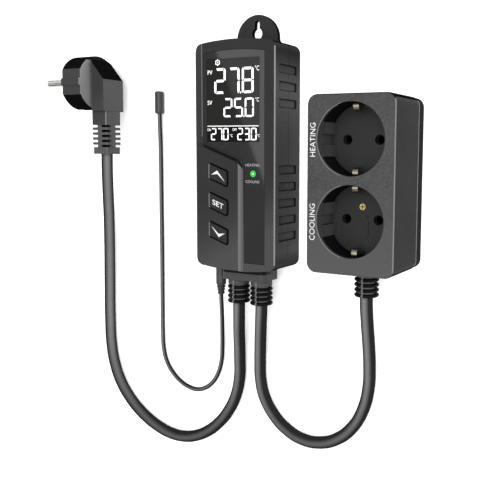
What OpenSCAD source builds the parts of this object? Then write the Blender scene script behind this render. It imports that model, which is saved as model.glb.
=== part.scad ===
// Digital temperature controller with a plug-in probe, an angled mains plug and a box with two sockets.
// X runs to the right, Y up along the front and Z out of the front. The back faces lie on Z 0.

/* [Controller housing] */
// Width of the controller across the front
body_w = 57; // [55:0.5:62]
// Height of the controller between the crests of its arched ends
body_h = 137; // [135:1:146]
// Depth of the controller from its back to its display
body_t = 29; // [28:0.5:33]
// Height of the arch at the top and bottom edges
end_rise = 2.5; // [1.5:0.5:3.5]
// Radius of the four corners seen from the front
corner_r = 5; // [4:0.5:6]
// Thickness of the side walls
wall = 2.2; // [1.8:0.1:2.4]
// Depth of the rear shell, from the back to the parting line
rear_t = 14; // [13:0.5:15]
// Thickness of the back wall
back_wall = 2.2; // [1.8:0.1:2.6]
// Thickness of the front wall under the keypad
front_wall = 2.3; // [1.8:0.1:2.6]

/* [Hanging tab] */
// Radius of the tab
tab_r = 14.6; // [13:0.2:17]
// Height of the tab's centre above the crest of the body
tab_rise = 3.3; // [2:0.1:5]
// Thickness of the tab
tab_t = 3; // [2:0.2:5]
// Radius of the keyhole's round opening
keyhole_r = 3.6; // [3.2:0.1:4.2]
// Width of the keyhole's slot
keyhole_slot_w = 3.4; // [2.6:0.1:3.8]
// Height of the slot's end above the round opening
keyhole_travel = 6.3; // [5:0.1:7.5]
// Height of the keyhole's round opening above the crest
keyhole_rise = 6.4; // [5.6:0.1:7.4]

/* [Raised display area] */
// Height of the display area above the keypad
step_h = 1.5; // [1:0.1:2]
// Distance from the right side to the slope beside the keypad
keypad_right = 22; // [20:0.5:23]
// Distance from the crest down to the keypad's upper left corner
keypad_drop = 60.5; // [59:0.5:63]
// Fall of the slanted edge, in degrees
slant = 20; // [15:1:22]
// Width of the slope beside the keypad
step_run = 4.8; // [3:0.2:6]
// Width of the slope above the keypad
slant_run = 2.5; // [1.5:0.1:3]
// Width of the bevel on the left side
left_bevel_w = 5.9; // [5:0.1:6.5]

/* [Display] */
// Thickness of the window
window_t = 1.5; // [1:0.1:1.8]
// Distance from the crest to the window's arched top
window_drop = 6.2; // [5:0.1:7]
// Distance from the right side to the window
window_right = 7.3; // [6.5:0.1:8.5]
// Distance from the lower crest to the window's foot
window_foot = 5.5; // [5:0.1:8]
// Distance from the right side to the display
view_right = 10.3; // [9.5:0.1:12]
// Height of the display that shows
view_h = 49.3; // [46:0.1:50]
// Distance from the crest to the display
view_drop = 10.8; // [10:0.1:12]
// Distance from the left side to the display
view_left = 9; // [8.8:0.1:9.6]

/* [Buttons] */
// Height of a button
button_h = 9.6; // [8:0.2:10.4]
// Distance from the left bevel to the buttons
button_left = 3.4; // [2.6:0.1:4]
// Distance from the buttons to the slope on their right
button_right = 6.9; // [5:0.1:8]
// How far a button goes in
button_travel = 0.6; // [0.3:0.1:0.8]
// Radius of the status lamp's lens
lamp_r = 1.9; // [1.5:0.1:2.4]

/* [Grip recesses] */
// Length of a recess across the side
grip_l = 19.6; // [16:0.2:21]
// Height of a recess
grip_h = 4.5; // [3.5:0.1:5.5]
// Depth of a recess
grip_depth = 0.9; // [0.5:0.1:1.1]
// Distance between neighbouring recesses
grip_pitch = 9.9; // [9:0.1:10.5]

/* [Cords] */
// Diameter of the mains and output cords
cord_d = 7.5; // [6.5:0.1:7.8]
// Diameter of the probe cord
probe_cord_d = 2.8; // [2.4:0.1:3]
// Width of the outlet block
outlet_w = 31; // [30:0.5:33]
// Depth of the outlet block
outlet_t = 19; // [18:0.5:20]
// How far the outlet block stands out of the crest
outlet_out = 6.3; // [5:0.1:8]
// Distance between the two cords
outlet_pitch = 16.4; // [16:0.1:17]
// Radius of a strain relief's ribs
relief_r = 7; // [6.4:0.1:7.4]
// Number of ribs on a strain relief
relief_ribs = 4; // [3:1:5]
// Distance between neighbouring ribs
rib_pitch = 2.95; // [2.6:0.05:3.2]

/* [Probe] */
// Diameter of the jack pin
jack_d = 3.5; // [3:0.1:3.6]
// Length of the jack pin
jack_l = 14; // [12:0.5:15]
// Diameter of the probe tip
tip_d = 6; // [5:0.1:6]
// Length of the probe tip
tip_l = 14.7; // [12:0.1:20]

/* [Socket box] */
// Width of the socket box
box_w = 51; // [50:0.5:56]
// Height of the socket box
box_h = 96; // [95:0.5:104]
// Depth of the socket box
box_t = 43; // [42.5:0.5:46]
// Radius of its corners
box_r = 5.5; // [4:0.5:7]
// Thickness of its walls
box_wall = 2.5; // [2:0.1:2.8]
// Depth of its rear cover
cover_t = 8; // [7:0.5:9]
// Diameter of a socket's recess
socket_d = 39; // [38.4:0.1:39.4]
// Depth of a socket's recess
socket_depth = 17.5; // [17:0.1:18]
// Distance between the two sockets
socket_pitch = 43.5; // [43.3:0.1:44]
// Distance between the two pins of a plug
pin_pitch = 19; // [18.8:0.1:19.2]
// Diameter of a pin
pin_d = 4.8; // [4.6:0.1:4.9]
// Length of a pin
pin_l = 19; // [18:0.5:19]

/* [Mains plug] */
// Diameter of the plug's barrel
barrel_d = 35.6; // [34.6:0.1:36.4]
// Depth of the barrel
barrel_l = 16.4; // [15:0.1:17]
// Distance across the barrel's flats
barrel_flats = 32.2; // [30:0.1:32.8]
// Height of the guide bar on each flat
guide_h = 1.3; // [0.6:0.1:1.4]
// Width of the guide bar
guide_w = 4.6; // [3:0.1:5]
// Depth of the plug's body behind the barrel
plug_body_l = 13.2; // [11:0.1:16]
// Thickness of the plug's body
plug_body_t = 18.6; // [16:0.1:22]
// Width of the plug's ribbed relief
plug_relief_w = 12.4; // [11.6:0.1:13]

/* [Hidden] */
$fn = 48;
// How far a cut runs past what it cuts
over = 1;
// Thickness of the plates that a sloped pocket is drawn between
sliver = 0.01;
// How far a raised piece reaches into the wall that carries it
bite = 0.5;
// Gap around a part that is let into another
fit = 0.15;
// Gap around a shaft or pin that slides
slide_fit = 0.05;

// Places on the controller
left_x = -body_w / 2;
right_x = body_w / 2;
crest_y = body_h / 2;
arch_r = body_w * body_w / (8 * end_rise) + end_rise / 2;
keypad_z = body_t - step_h;
ceiling_z = keypad_z - front_wall;
arch_steps = 16;
corner_steps = 8;

// Edges of the raised display area, at the top of its slopes and at their foot
bevel_x = left_x + left_bevel_w;
step_x = right_x - keypad_right;
keypad_y = crest_y - keypad_drop;
keypad_h = keypad_y + crest_y;
mitre = 2.4;
window_inset = 0.8;

// Display and its window
view_x = left_x + view_left;
view_w = body_w - view_left - view_right;
view_y = crest_y - view_drop;
glass_t = 2.6;
glass_border = 0.9;
frame_t = 3.4;
frame_wall = 1.6;
light_t = 1.2;
glass_z = ceiling_z - glass_t;
frame_z = glass_z - frame_t;

// Display board, seated on pegs of the front shell
board_t = 1.6;
display_board_z = frame_z - board_t;
board_gap = 1.8;
board_top = 8;
board_foot = 18;
peg_r = 1.9;
peg_side = 5.6;
peg_drop = 38.5;
peg_foot = 47.5;
peg_x = right_x - peg_side;
peg_y = [crest_y - peg_drop, -crest_y + peg_foot];
small_screw_r = 0.9;
small_head_r = 1.7;
small_head_h = 1.3;
screw_fit = 0.06;

// Buttons and their switches
button_first_share = 0.2484;
button_pitch_share = 0.23;
button_pitch = button_pitch_share * keypad_h;
button_w = step_x - step_run - button_right - bevel_x - button_left;
button_x = bevel_x + button_left + button_w / 2;
button_y = keypad_y - button_first_share * keypad_h;
button_proud = 0.4;
button_corner = 1.4;
button_gap = 0.35;
flange_rim = 1.1;
flange_t = 1.2;
flange_gap = 0.1;
plunger_r = 1.75;
switch_w = 6;
switch_h = 3.6;
well_floor = 0.6;
well_room = 0.4;

// Lamp, sounder and control chip on the display board
lamp_side = 15.1;
lamp_share = 0.2327;
sounder_share = 0.5725;
lamp_x = right_x - lamp_side;
lamp_y = keypad_y - lamp_share * keypad_h;
lamp_body_r = 1.5;
lamp_body_h = 2.2;
sounder_r = 4.5;
sounder_h = 4.2;
sounder_y = keypad_y - sounder_share * keypad_h;
chip_w = 9;
chip_h = 1.4;
chip_gap = 0.6;
chip_y = view_y - view_h - glass_border - chip_gap;

// Case screws, from the back
case_side = 5.3;
case_top = 8.5;
case_foot = 22.5;
case_x = right_x - case_side;
case_low_y = -crest_y + case_foot;
boss_r = 2.5;
rear_boss_r = 3.2;
screw_r = 1.3;
head_r = 2.3;
head_h = 1.6;
head_z = 3.4;
slot_w = 0.6;
slot_h = 0.7;
case_screw_l = 14;
case_spots = [[case_x, crest_y - case_top], [-case_x, crest_y - case_top],
    [case_x, case_low_y], [-case_x, case_low_y]];
lip_h = 1.6;
lip_w = 0.9;

// Power board on posts of the rear shell
power_gap = 2;
power_side = 4.7;
power_foot = 4;
power_head = 13.5;
power_z = back_wall + power_gap;
power_top = power_z + board_t;
power_x = right_x - power_side;
power_low_y = case_low_y + power_foot;
power_high_y = crest_y - power_head;
stand_r = 2.4;
stand_side = 7.9;
stand_x = right_x - stand_side;
stand_inset = 3.6;
stand_spots = [[stand_x, power_low_y + stand_inset], [-stand_x, power_low_y + stand_inset],
    [stand_x, power_high_y - stand_inset], [-stand_x, power_high_y - stand_inset]];

// Parts on the power board, each measured from the board's nearest edges
relay_size = [12.6, 28, 10.2];
relay_side = 4.4;
relay_gap = 2.2;
relay_foot = 10;
relay_x = [-power_x + relay_side, -power_x + relay_side + relay_size[0] + relay_gap];
relay_y = power_low_y + relay_foot;
relay_case_gap = 0.4;
coil_size = [17, 19, 10.4];
coil_side = 5.3;
coil_head = 5;
coil_at = [-power_x + coil_side, power_high_y - coil_head - coil_size[1]];
bobbin_inset = 3;
capacitor_r = 5;
capacitor_h = 10.4;
capacitor_side = 15.8;
capacitor_head = 12;
capacitor_at = [power_x - capacitor_side, power_high_y - capacitor_head];
capacitor_groove = 0.5;
fuse_r = 2.6;
fuse_l = 20;
fuse_side = 6.8;
fuse_foot = 12;
fuse_at = [power_x - fuse_side, power_low_y + fuse_foot];
fuse_cap_l = 4.5;
fuse_cap_rim = 0.4;
clip_t = 1;
disc_r = 4.5;
disc_t = 3.6;
disc_side = 6.3;
disc_foot = 36;
disc_at = [power_x - disc_side, power_low_y + disc_foot];
link_size = [5, 20];
link_side = 9.8;
link_head = 25;
link_at = [power_x - link_side, power_high_y - link_head];
terminal_l = 8.5;
terminal_h = 10.4;

// Outlet block, reliefs and clamp
outlet_x = 2.2;
outlet_z = body_t / 2;
outlet_r = 4;
outlet_end_y = -crest_y - outlet_out;
outlet_depth = 7;
outlet_in_y = -crest_y + outlet_depth;
outlet_flange_y = -crest_y + wall + fit + lip_w + end_rise / 2;
outlet_flange_t = 1.8;
outlet_flange_rim = 1.2;
outlet_floor = 4;
relief_neck_r = 5.2;
relief_anchor_r = 6.6;
relief_anchor_t = 3.5;
relief_collar_r = 6.6;
relief_collar_t = 3.6;
relief_core_r = 4.9;
relief_web_w = 1.1;
rib_t = 2;
cord_r = cord_d / 2;
cord_gap = 0.12;
mains_x = outlet_x - outlet_pitch / 2;
output_x = outlet_x + outlet_pitch / 2;
cord_depth = 16.5;
clamp_depth = 11.3;
cord_in_y = -crest_y + cord_depth;
clamp_y = -crest_y + clamp_depth;
clamp_w = 4;
clamp_t = 2.6;
clamp_half = 15;
clamp_gap = 1.2;
saddle_z = outlet_z - clamp_gap;
clamp_z = outlet_z + clamp_gap;
clamp_screw_l = 9;
lead_r = 1;
lead_ring = 1.55;

// Probe socket, jack and tip
probe_side = 9;
probe_x = left_x + probe_side;
probe_z = outlet_z;
jack_r = jack_d / 2;
probe_r = probe_cord_d / 2;
socket_nose_r = 3.6;
socket_block_w = 8.4;
socket_end_wall = 1.6;
nose_depth = 1.2;
nose_gap = 0.3;
nose_end_y = -crest_y + nose_depth;
jack_face_y = nose_end_y - nose_gap;
socket_block_y = [-crest_y + end_rise + wall + fit + lip_w, jack_face_y + jack_l + bite
    + socket_end_wall];
jack_body_r = 3.2;
jack_body_l = 11.5;
jack_neck_l = 7.5;
jack_neck_r = 2.1;
jack_root_l = 6;
jack_groove = 0.45;
jack_ribs = 3;
tip_r = tip_d / 2;
tip_x = -76.6;
tip_y = 27.6;
tip_lift = 3;
tip_socket_l = 4;
tip_round = 0.7;

// Mains plug
plug_z = barrel_flats / 2 + guide_h;
plug_y = 47.7;
plug_face_x = -133;
plug_back_x = plug_face_x + barrel_l;
plug_end_x = plug_back_x + plug_body_l;
plug_relief_x = -110;
plug_relief_h = 13;
plug_neck_y = 19.7;
plug_body_low_y = 28.8;
plug_head = 15.1;
plug_slope = 1.7;
plug_body_high_y = plug_y + plug_head;
plug_slope_y = plug_y + plug_slope;
pin_root_l = 8;
pin_root_d = pin_d - 0.8;
pin_round = 0.8;
earth_w = 5.2;
earth_t = 1;
earth_recess = 2.2;
plug_rib_pitch = 3.28;
plug_rib_gap = 1.5;
plug_ribs = 5;
plug_arm = 1.9;
plug_core_wall = 0.9;
plug_collar_l = 4.6;
plug_collar_inset = 0.35;
plug_relief_l = (plug_ribs - 1) * plug_rib_pitch + plug_rib_gap + plug_collar_l;
plug_cord_depth = 3.4;
plug_cord_y = plug_neck_y + plug_cord_depth;
plug_chamfer = 1.6;
plug_edge = 3.3;
earth_end = 3;

// Socket box
box_x = 82;
box_y = -14;
box_low_y = box_y - box_h / 2;
socket_shift = 2.4;
socket_r = socket_d / 2;
socket_spots = [box_y + socket_shift + socket_pitch / 2, box_y + socket_shift - socket_pitch / 2];
cup_wall = 1.8;
cup_floor_t = 3;
floor_z = box_t - socket_depth;
rim_z = box_t - box_wall;
hole_gap = 0.4;
hole_r = pin_d / 2 + hole_gap;
guide_block_h = 12.5;
guide_block_half = 9.2;
guide_gap = 0.6;
guide_slot_half = guide_w / 2 + guide_gap;
guide_side = 0.5;
guide_reach = barrel_flats / 2 + guide_side;
clip_w = 3.2;
clip_metal = 1;
clip_inset = 0.6;
clip_top_drop = 7;
clip_bump_drop = 10;
clip_reach = socket_r - clip_inset;
clip_top_z = box_t - clip_top_drop;
clip_bump_r = 3.2;
clip_bump_z = box_t - clip_bump_drop;
clip_gap = 0.3;
strap_t = 1;
sleeve_wall = 0.8;
sleeve_l = 9;
bus_t = 1;
bus_w = 6.6;
bus_gap = 3;
bus_z = floor_z - cup_floor_t - bus_gap;
boss_slot_w = 7.4;
boss_slot_l = 14.4;
boss_slot_h = 0.5;
boss_shift = -4;
brass_shift = 7;
brass_head_r = 1.75;
brass_head_h = 1.2;
brass_r = 1.1;
brass_l = 7;
box_screw_inset = 5.2;
box_post_r = 2.7;
box_screw_l = 16;
box_lip_h = 2;
box_lip_w = 1.2;
box_relief_z = 18;
cover_inset = 0.3;

// Points that the mains cord follows, from inside the controller to inside the plug
mains_route = [[-6, -52, 14.5], [-6, -70, 14.5], [-6, -92, 14.5], [-7, -102, 13], [-9, -111.5, 10],
    [-11, -121.5, 6.5], [-12.2, -131.5, 4.4], [-12.8, -142.5, 3.8], [-15.5, -155, 3.8],
    [-21.5, -167, 3.8], [-29.5, -176.8, 3.8], [-38.2, -184, 3.8], [-47.8, -189, 3.8],
    [-58, -191.6, 3.8], [-68.8, -191.6, 3.8], [-79.5, -189, 3.8], [-89.5, -184.6, 3.8],
    [-98.5, -178.8, 3.8], [-106.8, -171.2, 3.8], [-113.8, -162, 3.8], [-119, -150.5, 3.8],
    [-122, -137, 3.8], [-123, -114, 3.8], [-122.6, -89, 3.9], [-120.4, -64, 5.8], [-116.6, -42, 9.8],
    [-112.8, -21, 14.4], [-110.6, -8, 16.9], [-110, 2, 17.4], [-110, 12, 17.4], [-110, 23, 17.4]];
// Points that the output cord follows, from inside the controller to inside the socket box
output_route = [[10.4, -52, 14.5], [10.4, -70, 14.5], [10.4, -92, 14.5], [9.2, -101, 13.1],
    [7, -110.5, 10], [4.6, -120.5, 6.5], [3.2, -130.5, 4.4], [3.2, -141, 3.8], [6, -152.5, 3.8],
    [12.6, -163, 3.8], [22, -171, 3.8], [33.6, -175.6, 3.8], [46.4, -175.4, 3.8], [58.2, -170.6, 3.8],
    [68.2, -161.4, 3.8], [75, -149, 3.8], [78.4, -135, 4.3], [79.8, -121, 6.8], [80.8, -108, 10.8],
    [81.6, -95, 15.2], [82, -83, 18], [82, -70, 18], [82, -56, 18]];
// Points that the probe cord follows, from inside the jack to inside the probe tip
probe_route = [[-19.5, -80, 14.5], [-19.5, -88, 14.5], [-19.8, -94, 13.7], [-21.6, -102.5, 10.6],
    [-24.4, -112.5, 6.4], [-26.8, -123.5, 3], [-28.4, -134, 1.6], [-31, -143, 1.5], [-35.4, -150.2, 1.5],
    [-41.4, -155.2, 1.5], [-48.4, -157.6, 1.5], [-55.6, -157, 1.5], [-62.4, -154.2, 1.5],
    [-68.8, -149.2, 1.5], [-74.2, -141.8, 1.5], [-76.8, -132.6, 1.5], [-77.4, -120, 1.5],
    [-77.4, -105, 1.5], [-77.3, -88, 1.5], [-77.2, -68, 1.5], [-77.2, -47, 1.5], [-77.2, -26, 1.5],
    [-77.2, -6, 1.5], [-77, 10, 2], [-76.7, 21, 2.8], [-76.6, 27.4, 3], [-76.6, 31.4, 3]];

// Points of an arc, with both its ends
function arc(centre, r, from, to, steps) =
    [for (i = [0:steps]) let (a = from + (to - from) * i / steps) centre + r * [cos(a), sin(a)]];

// The controller's outline seen from the front, drawn in by an inset
function body_points(inset) = let (
    r = corner_r - inset,
    arch = arch_r - inset,
    cx = body_w / 2 - corner_r,
    fall = arch_r - crest_y,
    cy = sqrt(pow(arch_r - corner_r, 2) - cx * cx) - fall,
    turn = atan2(cy + fall, cx))
    concat(arc([cx, cy], r, 0, turn, corner_steps),
        arc([0, -fall], arch, turn, 180 - turn, arch_steps),
        arc([-cx, cy], r, 180 - turn, 180, corner_steps),
        arc([-cx, -cy], r, 180, 180 + turn, corner_steps),
        arc([0, fall], arch, 180 + turn, 360 - turn, arch_steps),
        arc([cx, -cy], r, 360 - turn, 360, corner_steps));

// Height of the slanted line at a place across the front, moved down by a run
function slant_y(x, run) = keypad_y - (x - bevel_x) * tan(slant) - run / cos(slant);

// The lower left field, larger at the top of its slopes than at their foot
function keypad_points(run_x, run_y) = let (x = step_x - run_x) [
    [left_x - over, slant_y(left_x - over, run_y)],
    [x - mitre * cos(slant), slant_y(x - mitre * cos(slant), run_y)],
    [x, slant_y(x, run_y) - mitre],
    [x, -crest_y - over],
    [left_x - over, -crest_y - over]];

// The window: a field over the display with a strip down the right side
function window_points(gap) = let (
    x0 = bevel_x + window_inset + gap,
    x1 = right_x - window_right - gap,
    xs = step_x + window_inset + gap,
    foot = -crest_y + window_foot + gap,
    arch = arch_r - window_drop - gap,
    fall = arch_r - crest_y,
    lift = -window_inset - gap,
    a0 = acos(x1 / arch),
    a1 = acos(x0 / arch))
    concat(arc([0, -fall], arch, a0, a1, arch_steps),
        [[x0, slant_y(x0, lift)],
        [xs - mitre * cos(slant), slant_y(xs - mitre * cos(slant), lift)],
        [xs, slant_y(xs, lift) - mitre],
        [xs, foot],
        [x1, foot]]);

// A tube swept along a list of points, as one closed solid
function unit(v) = v / norm(v);
function heading(p, i) = unit(p[min(i + 1, len(p) - 1)] - p[max(i - 1, 0)]);
function ring(p, i, r, sides) = let (
    t = heading(p, i),
    side = unit(cross(t, [0, 0, 1])),
    up = cross(side, t))
    [for (j = [0:sides - 1]) let (a = 360 * (j + 0.5) / sides) p[i] + r * (cos(a) * side + sin(a) * up)];
module swept_tube(p, r, sides) {
    rings = len(p);
    points = [for (i = [0:rings - 1]) each ring(p, i, r, sides)];
    skin = [for (i = [0:rings - 2], j = [0:sides - 1]) let (k = (j + 1) % sides)
        [i * sides + j, (i + 1) * sides + j, (i + 1) * sides + k, i * sides + k]];
    first = [for (j = [0:sides - 1]) j];
    last = [for (j = [sides - 1:-1:0]) (rings - 1) * sides + j];
    polyhedron(points, concat(skin, [first, last]), 2);
}

// Plain shapes, placed by their own ends
module prism(points, low, high) {
    translate([0, 0, low]) linear_extrude(high - low) polygon(points);
}
module block(x, y, z) {
    translate([x[0], y[0], z[0]]) cube([x[1] - x[0], y[1] - y[0], z[1] - z[0]]);
}
module post(at, z, r) {
    translate([at[0], at[1], z[0]]) cylinder(r = r, h = z[1] - z[0]);
}
module rod_x(x, y, z, r) {
    translate([x[0], y, z]) rotate([0, 90, 0]) cylinder(r = r, h = x[1] - x[0]);
}
module rod_y(x, y, z, r) {
    translate([x, y[1], z]) rotate([90, 0, 0]) cylinder(r = r, h = y[1] - y[0]);
}
module rounded(w, h, r) {
    square([w - 2 * r, h], center = true);
    square([w, h - 2 * r], center = true);
    for (i = [-1, 1], j = [-1, 1]) translate([i * (w / 2 - r), j * (h / 2 - r)]) circle(r);
}
module rounded_box(at, w, h, r, z) {
    translate([at[0], at[1], z[0]]) linear_extrude(z[1] - z[0]) rounded(w, h, r);
}
// A screw that points up, with a cross slot in its head
module screw(at, z, l, shank, head, head_t) {
    difference() {
        union() {
            post(at, [z, z + head_t], head);
            post(at, [z + head_t - sliver, z + head_t + l], shank);
        }
        for (turn = [0, 90]) translate([at[0], at[1], z]) rotate(turn)
            block([-head * slot_share, head * slot_share], [-slot_w / 2, slot_w / 2], [-over, slot_h]);
    }
}
slot_share = 0.7;

// Recesses along both sides, as blocks that are cut away
grip_drop = 17.5;
grip_foot = 21.5;
grip_upper_y = crest_y - grip_drop;
grip_lower_y = -crest_y + grip_foot;
grip_places = concat([for (i = [0:2]) grip_upper_y - i * grip_pitch],
    [for (i = [0:4]) grip_lower_y + i * grip_pitch]);
grip_r = 1.2;
module grips() {
    for (side = [-1, 1], y = grip_places)
        translate([side * right_x, y, body_t / 2]) rotate([0, 90, 0])
            translate([0, 0, -grip_depth]) linear_extrude(2 * grip_depth) rounded(grip_l, grip_h, grip_r);
}

// Openings in the lower wall, for the outlet block and the probe socket
module outlet_outline(grow) {
    rounded(outlet_w + 2 * grow, outlet_t + 2 * grow, outlet_r + grow);
}
module outlet_prism(y, grow) {
    translate([outlet_x, y[1], outlet_z]) rotate([90, 0, 0]) linear_extrude(y[1] - y[0])
        outlet_outline(grow);
}
module lower_openings() {
    outlet_prism([-crest_y - over, outlet_in_y], fit);
    rod_y(probe_x, [-crest_y - over, -crest_y + wall + end_rise + over], probe_z, socket_nose_r + fit);
}

// Front shell
module button_outline(grow) {
    half = button_w / 2 - button_corner;
    rise = button_h / 2 - button_corner;
    fall = half * tan(slant);
    r = button_corner + grow;
    polygon(concat(arc([-half, fall - rise], r, 180, 270 - slant, corner_steps),
        arc([half, -fall - rise], r, 270 - slant, 360, corner_steps),
        arc([half, -fall + rise], r, 0, 90 - slant, corner_steps),
        arc([-half, fall + rise], r, 90 - slant, 180, corner_steps)));
}
module keypad_pocket() {
    hull() {
        prism(keypad_points(step_run, slant_run), keypad_z, keypad_z + sliver);
        prism(keypad_points(0, 0), body_t, body_t + sliver);
    }
}
module left_bevel() {
    translate([0, crest_y + over, 0]) rotate([90, 0, 0]) linear_extrude(body_h + 2 * over)
        polygon([[bevel_x, body_t], [left_x, keypad_z], [left_x - over, keypad_z],
            [left_x - over, body_t + over], [bevel_x, body_t + over]]);
}
module front_shell() {
    color([0.17, 0.17, 0.18]) difference() {
        union() {
            difference() {
                prism(body_points(0), rear_t, body_t);
                prism(body_points(wall), rear_t - over, ceiling_z);
                keypad_pocket();
                left_bevel();
            }
            for (p = case_spots) post(p, [rear_t, ceiling_z + bite], boss_r);
            for (i = [-1, 1], y = peg_y) post([i * peg_x, y], [frame_z, ceiling_z + bite], peg_r);
        }
        for (p = case_spots) post(p, [rear_t - over, head_z + head_h + case_screw_l + bite],
            screw_r + screw_fit);
        for (i = [-1, 1], y = peg_y)
            post([i * peg_x, y], [frame_z - over, ceiling_z - bite], small_screw_r + screw_fit);
        prism(window_points(-fit), body_t - window_t, body_t + over);
        block([view_x, view_x + view_w], [view_y - view_h, view_y], [ceiling_z - over, body_t]);
        for (i = [0:2]) translate([button_x, button_y - i * button_pitch, ceiling_z - over])
            linear_extrude(body_t) button_outline(button_gap);
        post([lamp_x, lamp_y], [ceiling_z - over, body_t], lamp_r + fit);
        grips();
        lower_openings();
    }
}

// Rear shell with its hanging tab
module tab_outline() {
    circle(tab_r);
    translate([-tab_r, -tab_rise - end_rise]) square([2 * tab_r, tab_rise + end_rise]);
    for (i = [-1, 1]) difference() {
        translate([i > 0 ? tab_r - bite : -tab_r - tab_flare, -tab_rise - end_rise])
            square([tab_flare + bite, end_rise + tab_rise]);
        translate([i * (tab_r + tab_flare), 0]) circle(tab_flare);
        translate([i * (tab_r + tab_flare) - (i > 0 ? 0 : over), 0]) square([over, over]);
    }
}
tab_flare = 3.6;
tab_y = crest_y + tab_rise;
keyhole_y = crest_y + keyhole_rise;
module rear_lip() {
    difference() {
        prism(body_points(wall - bite), rear_t - lip_h, rear_t);
        prism(body_points(wall + fit + lip_w), rear_t - lip_h - over, rear_t + over);
    }
    difference() {
        prism(body_points(wall + fit), rear_t - lip_h, rear_t + lip_h);
        prism(body_points(wall + fit + lip_w), rear_t - lip_h - over, rear_t + lip_h + over);
        for (p = case_spots) post(p, [rear_t, rear_t + lip_h + over], boss_r + fit);
    }
}
module rear_shell() {
    color([0.15, 0.15, 0.16]) difference() {
        union() {
            difference() {
                prism(body_points(0), 0, rear_t);
                prism(body_points(wall), back_wall, rear_t + over);
            }
            rear_lip();
            translate([0, tab_y, 0]) linear_extrude(tab_t) tab_outline();
            for (p = case_spots) post(p, [back_wall - bite, rear_t], rear_boss_r);
            for (p = stand_spots) post(p, [back_wall - bite, power_z], stand_r);
            block([outlet_x - clamp_half, outlet_x + clamp_half], [clamp_y - clamp_w / 2,
                clamp_y + clamp_w / 2],
                [back_wall - bite, saddle_z]);
            block([probe_x - socket_block_w / 2, probe_x + socket_block_w / 2],
                [socket_block_y[0] + clamp_w, socket_block_y[0] + 2 * clamp_w],
                [back_wall - bite, probe_z - socket_block_w / 2]);
        }
        for (p = case_spots) {
            post(p, [-over, head_z + head_h], head_r + fit);
            post(p, [head_z, rear_t + over], screw_r + fit);
        }
        for (p = stand_spots) post(p, [back_wall - over, power_z + over], small_screw_r + screw_fit);
        for (x = [mains_x, output_x])
            rod_y(x, [clamp_y - clamp_w, clamp_y + clamp_w], outlet_z, cord_r + cord_gap);
        post([outlet_x, clamp_y], [saddle_z - clamp_screw_l, saddle_z + over], screw_r + screw_fit);
        post([0, keyhole_y], [-over, tab_t + over], keyhole_r);
        post([0, keyhole_y + keyhole_travel], [-over, tab_t + over], keyhole_slot_w / 2);
        block([-keyhole_slot_w / 2, keyhole_slot_w / 2], [keyhole_y, keyhole_y + keyhole_travel],
            [-over, tab_t + over]);
        grips();
        lower_openings();
    }
}

// Outlet block in the lower wall
module cord_outlet() {
    color([0.17, 0.17, 0.18]) difference() {
        union() {
            outlet_prism([outlet_end_y, outlet_in_y - fit], 0);
            outlet_prism([outlet_flange_y, outlet_flange_y + outlet_flange_t], outlet_flange_rim);
        }
        for (x = [mains_x, output_x]) {
            rod_y(x, [outlet_end_y - over, outlet_in_y], outlet_z, relief_neck_r + fit);
            rod_y(x, [outlet_end_y + outlet_floor, outlet_in_y], outlet_z, relief_anchor_r + fit);
        }
    }
}

// Display and window
module display_window() {
    color([0.05, 0.05, 0.06]) difference() {
        prism(window_points(0), body_t - window_t, body_t);
        post([lamp_x, lamp_y], [body_t - window_t - over, body_t + over], lamp_r + fit);
    }
}
glass_x = [view_x - glass_border, view_x + view_w + glass_border];
glass_y = [view_y - view_h - glass_border, view_y + glass_border];
module lcd_glass() {
    color([0.1, 0.11, 0.12]) block(glass_x, glass_y, [glass_z, ceiling_z]);
}
module lcd_frame() {
    color([0.9, 0.9, 0.88]) difference() {
        block(glass_x, glass_y, [frame_z, glass_z]);
        block(glass_x + frame_wall * [1, -1], glass_y + frame_wall * [1, -1], [frame_z - over,
            glass_z + over]);
    }
}
module back_light() {
    color([0.95, 0.95, 1]) block(glass_x + (frame_wall + fit) * [1, -1], glass_y + (frame_wall + fit)
        * [1, -1],
        [glass_z - light_t, glass_z]);
}
module display_board() {
    color([0.05, 0.35, 0.18]) difference() {
        block([left_x + wall + board_gap, right_x - wall - board_gap],
            [-crest_y + board_foot, crest_y - board_top], [display_board_z, frame_z]);
        for (p = case_spots) post(p, [display_board_z - over, frame_z + over], boss_r + fit + fit);
        for (i = [-1, 1], y = peg_y)
            post([i * peg_x, y], [display_board_z - over, frame_z + over], small_screw_r + fit);
    }
}

// Buttons, each with the plunger that works its switch
flange_z = ceiling_z - flange_gap - flange_t;
plunger_z = frame_z + well_floor + button_travel + well_room;
module button(i) {
    color([0.15, 0.15, 0.16]) translate([button_x, button_y - i * button_pitch, 0]) {
        translate([0, 0, flange_z]) linear_extrude(keypad_z + button_proud - flange_z) button_outline(0);
        translate([0, 0, flange_z]) linear_extrude(flange_t) button_outline(flange_rim);
        post([0, 0], [plunger_z, flange_z + bite], plunger_r);
    }
}
module up_button() {
    button(0);
}
module set_button() {
    button(1);
}
module down_button() {
    button(2);
}
module button_switches() {
    color([0.2, 0.2, 0.22]) for (i = [0:2]) translate([button_x, button_y - i * button_pitch, 0])
        difference() {
            block([-switch_w / 2, switch_w / 2], [-switch_w / 2, switch_w / 2], [frame_z,
                frame_z + switch_h]);
            post([0, 0], [frame_z + well_floor, frame_z + switch_h + over], plunger_r + slide_fit);
        }
}

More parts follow.
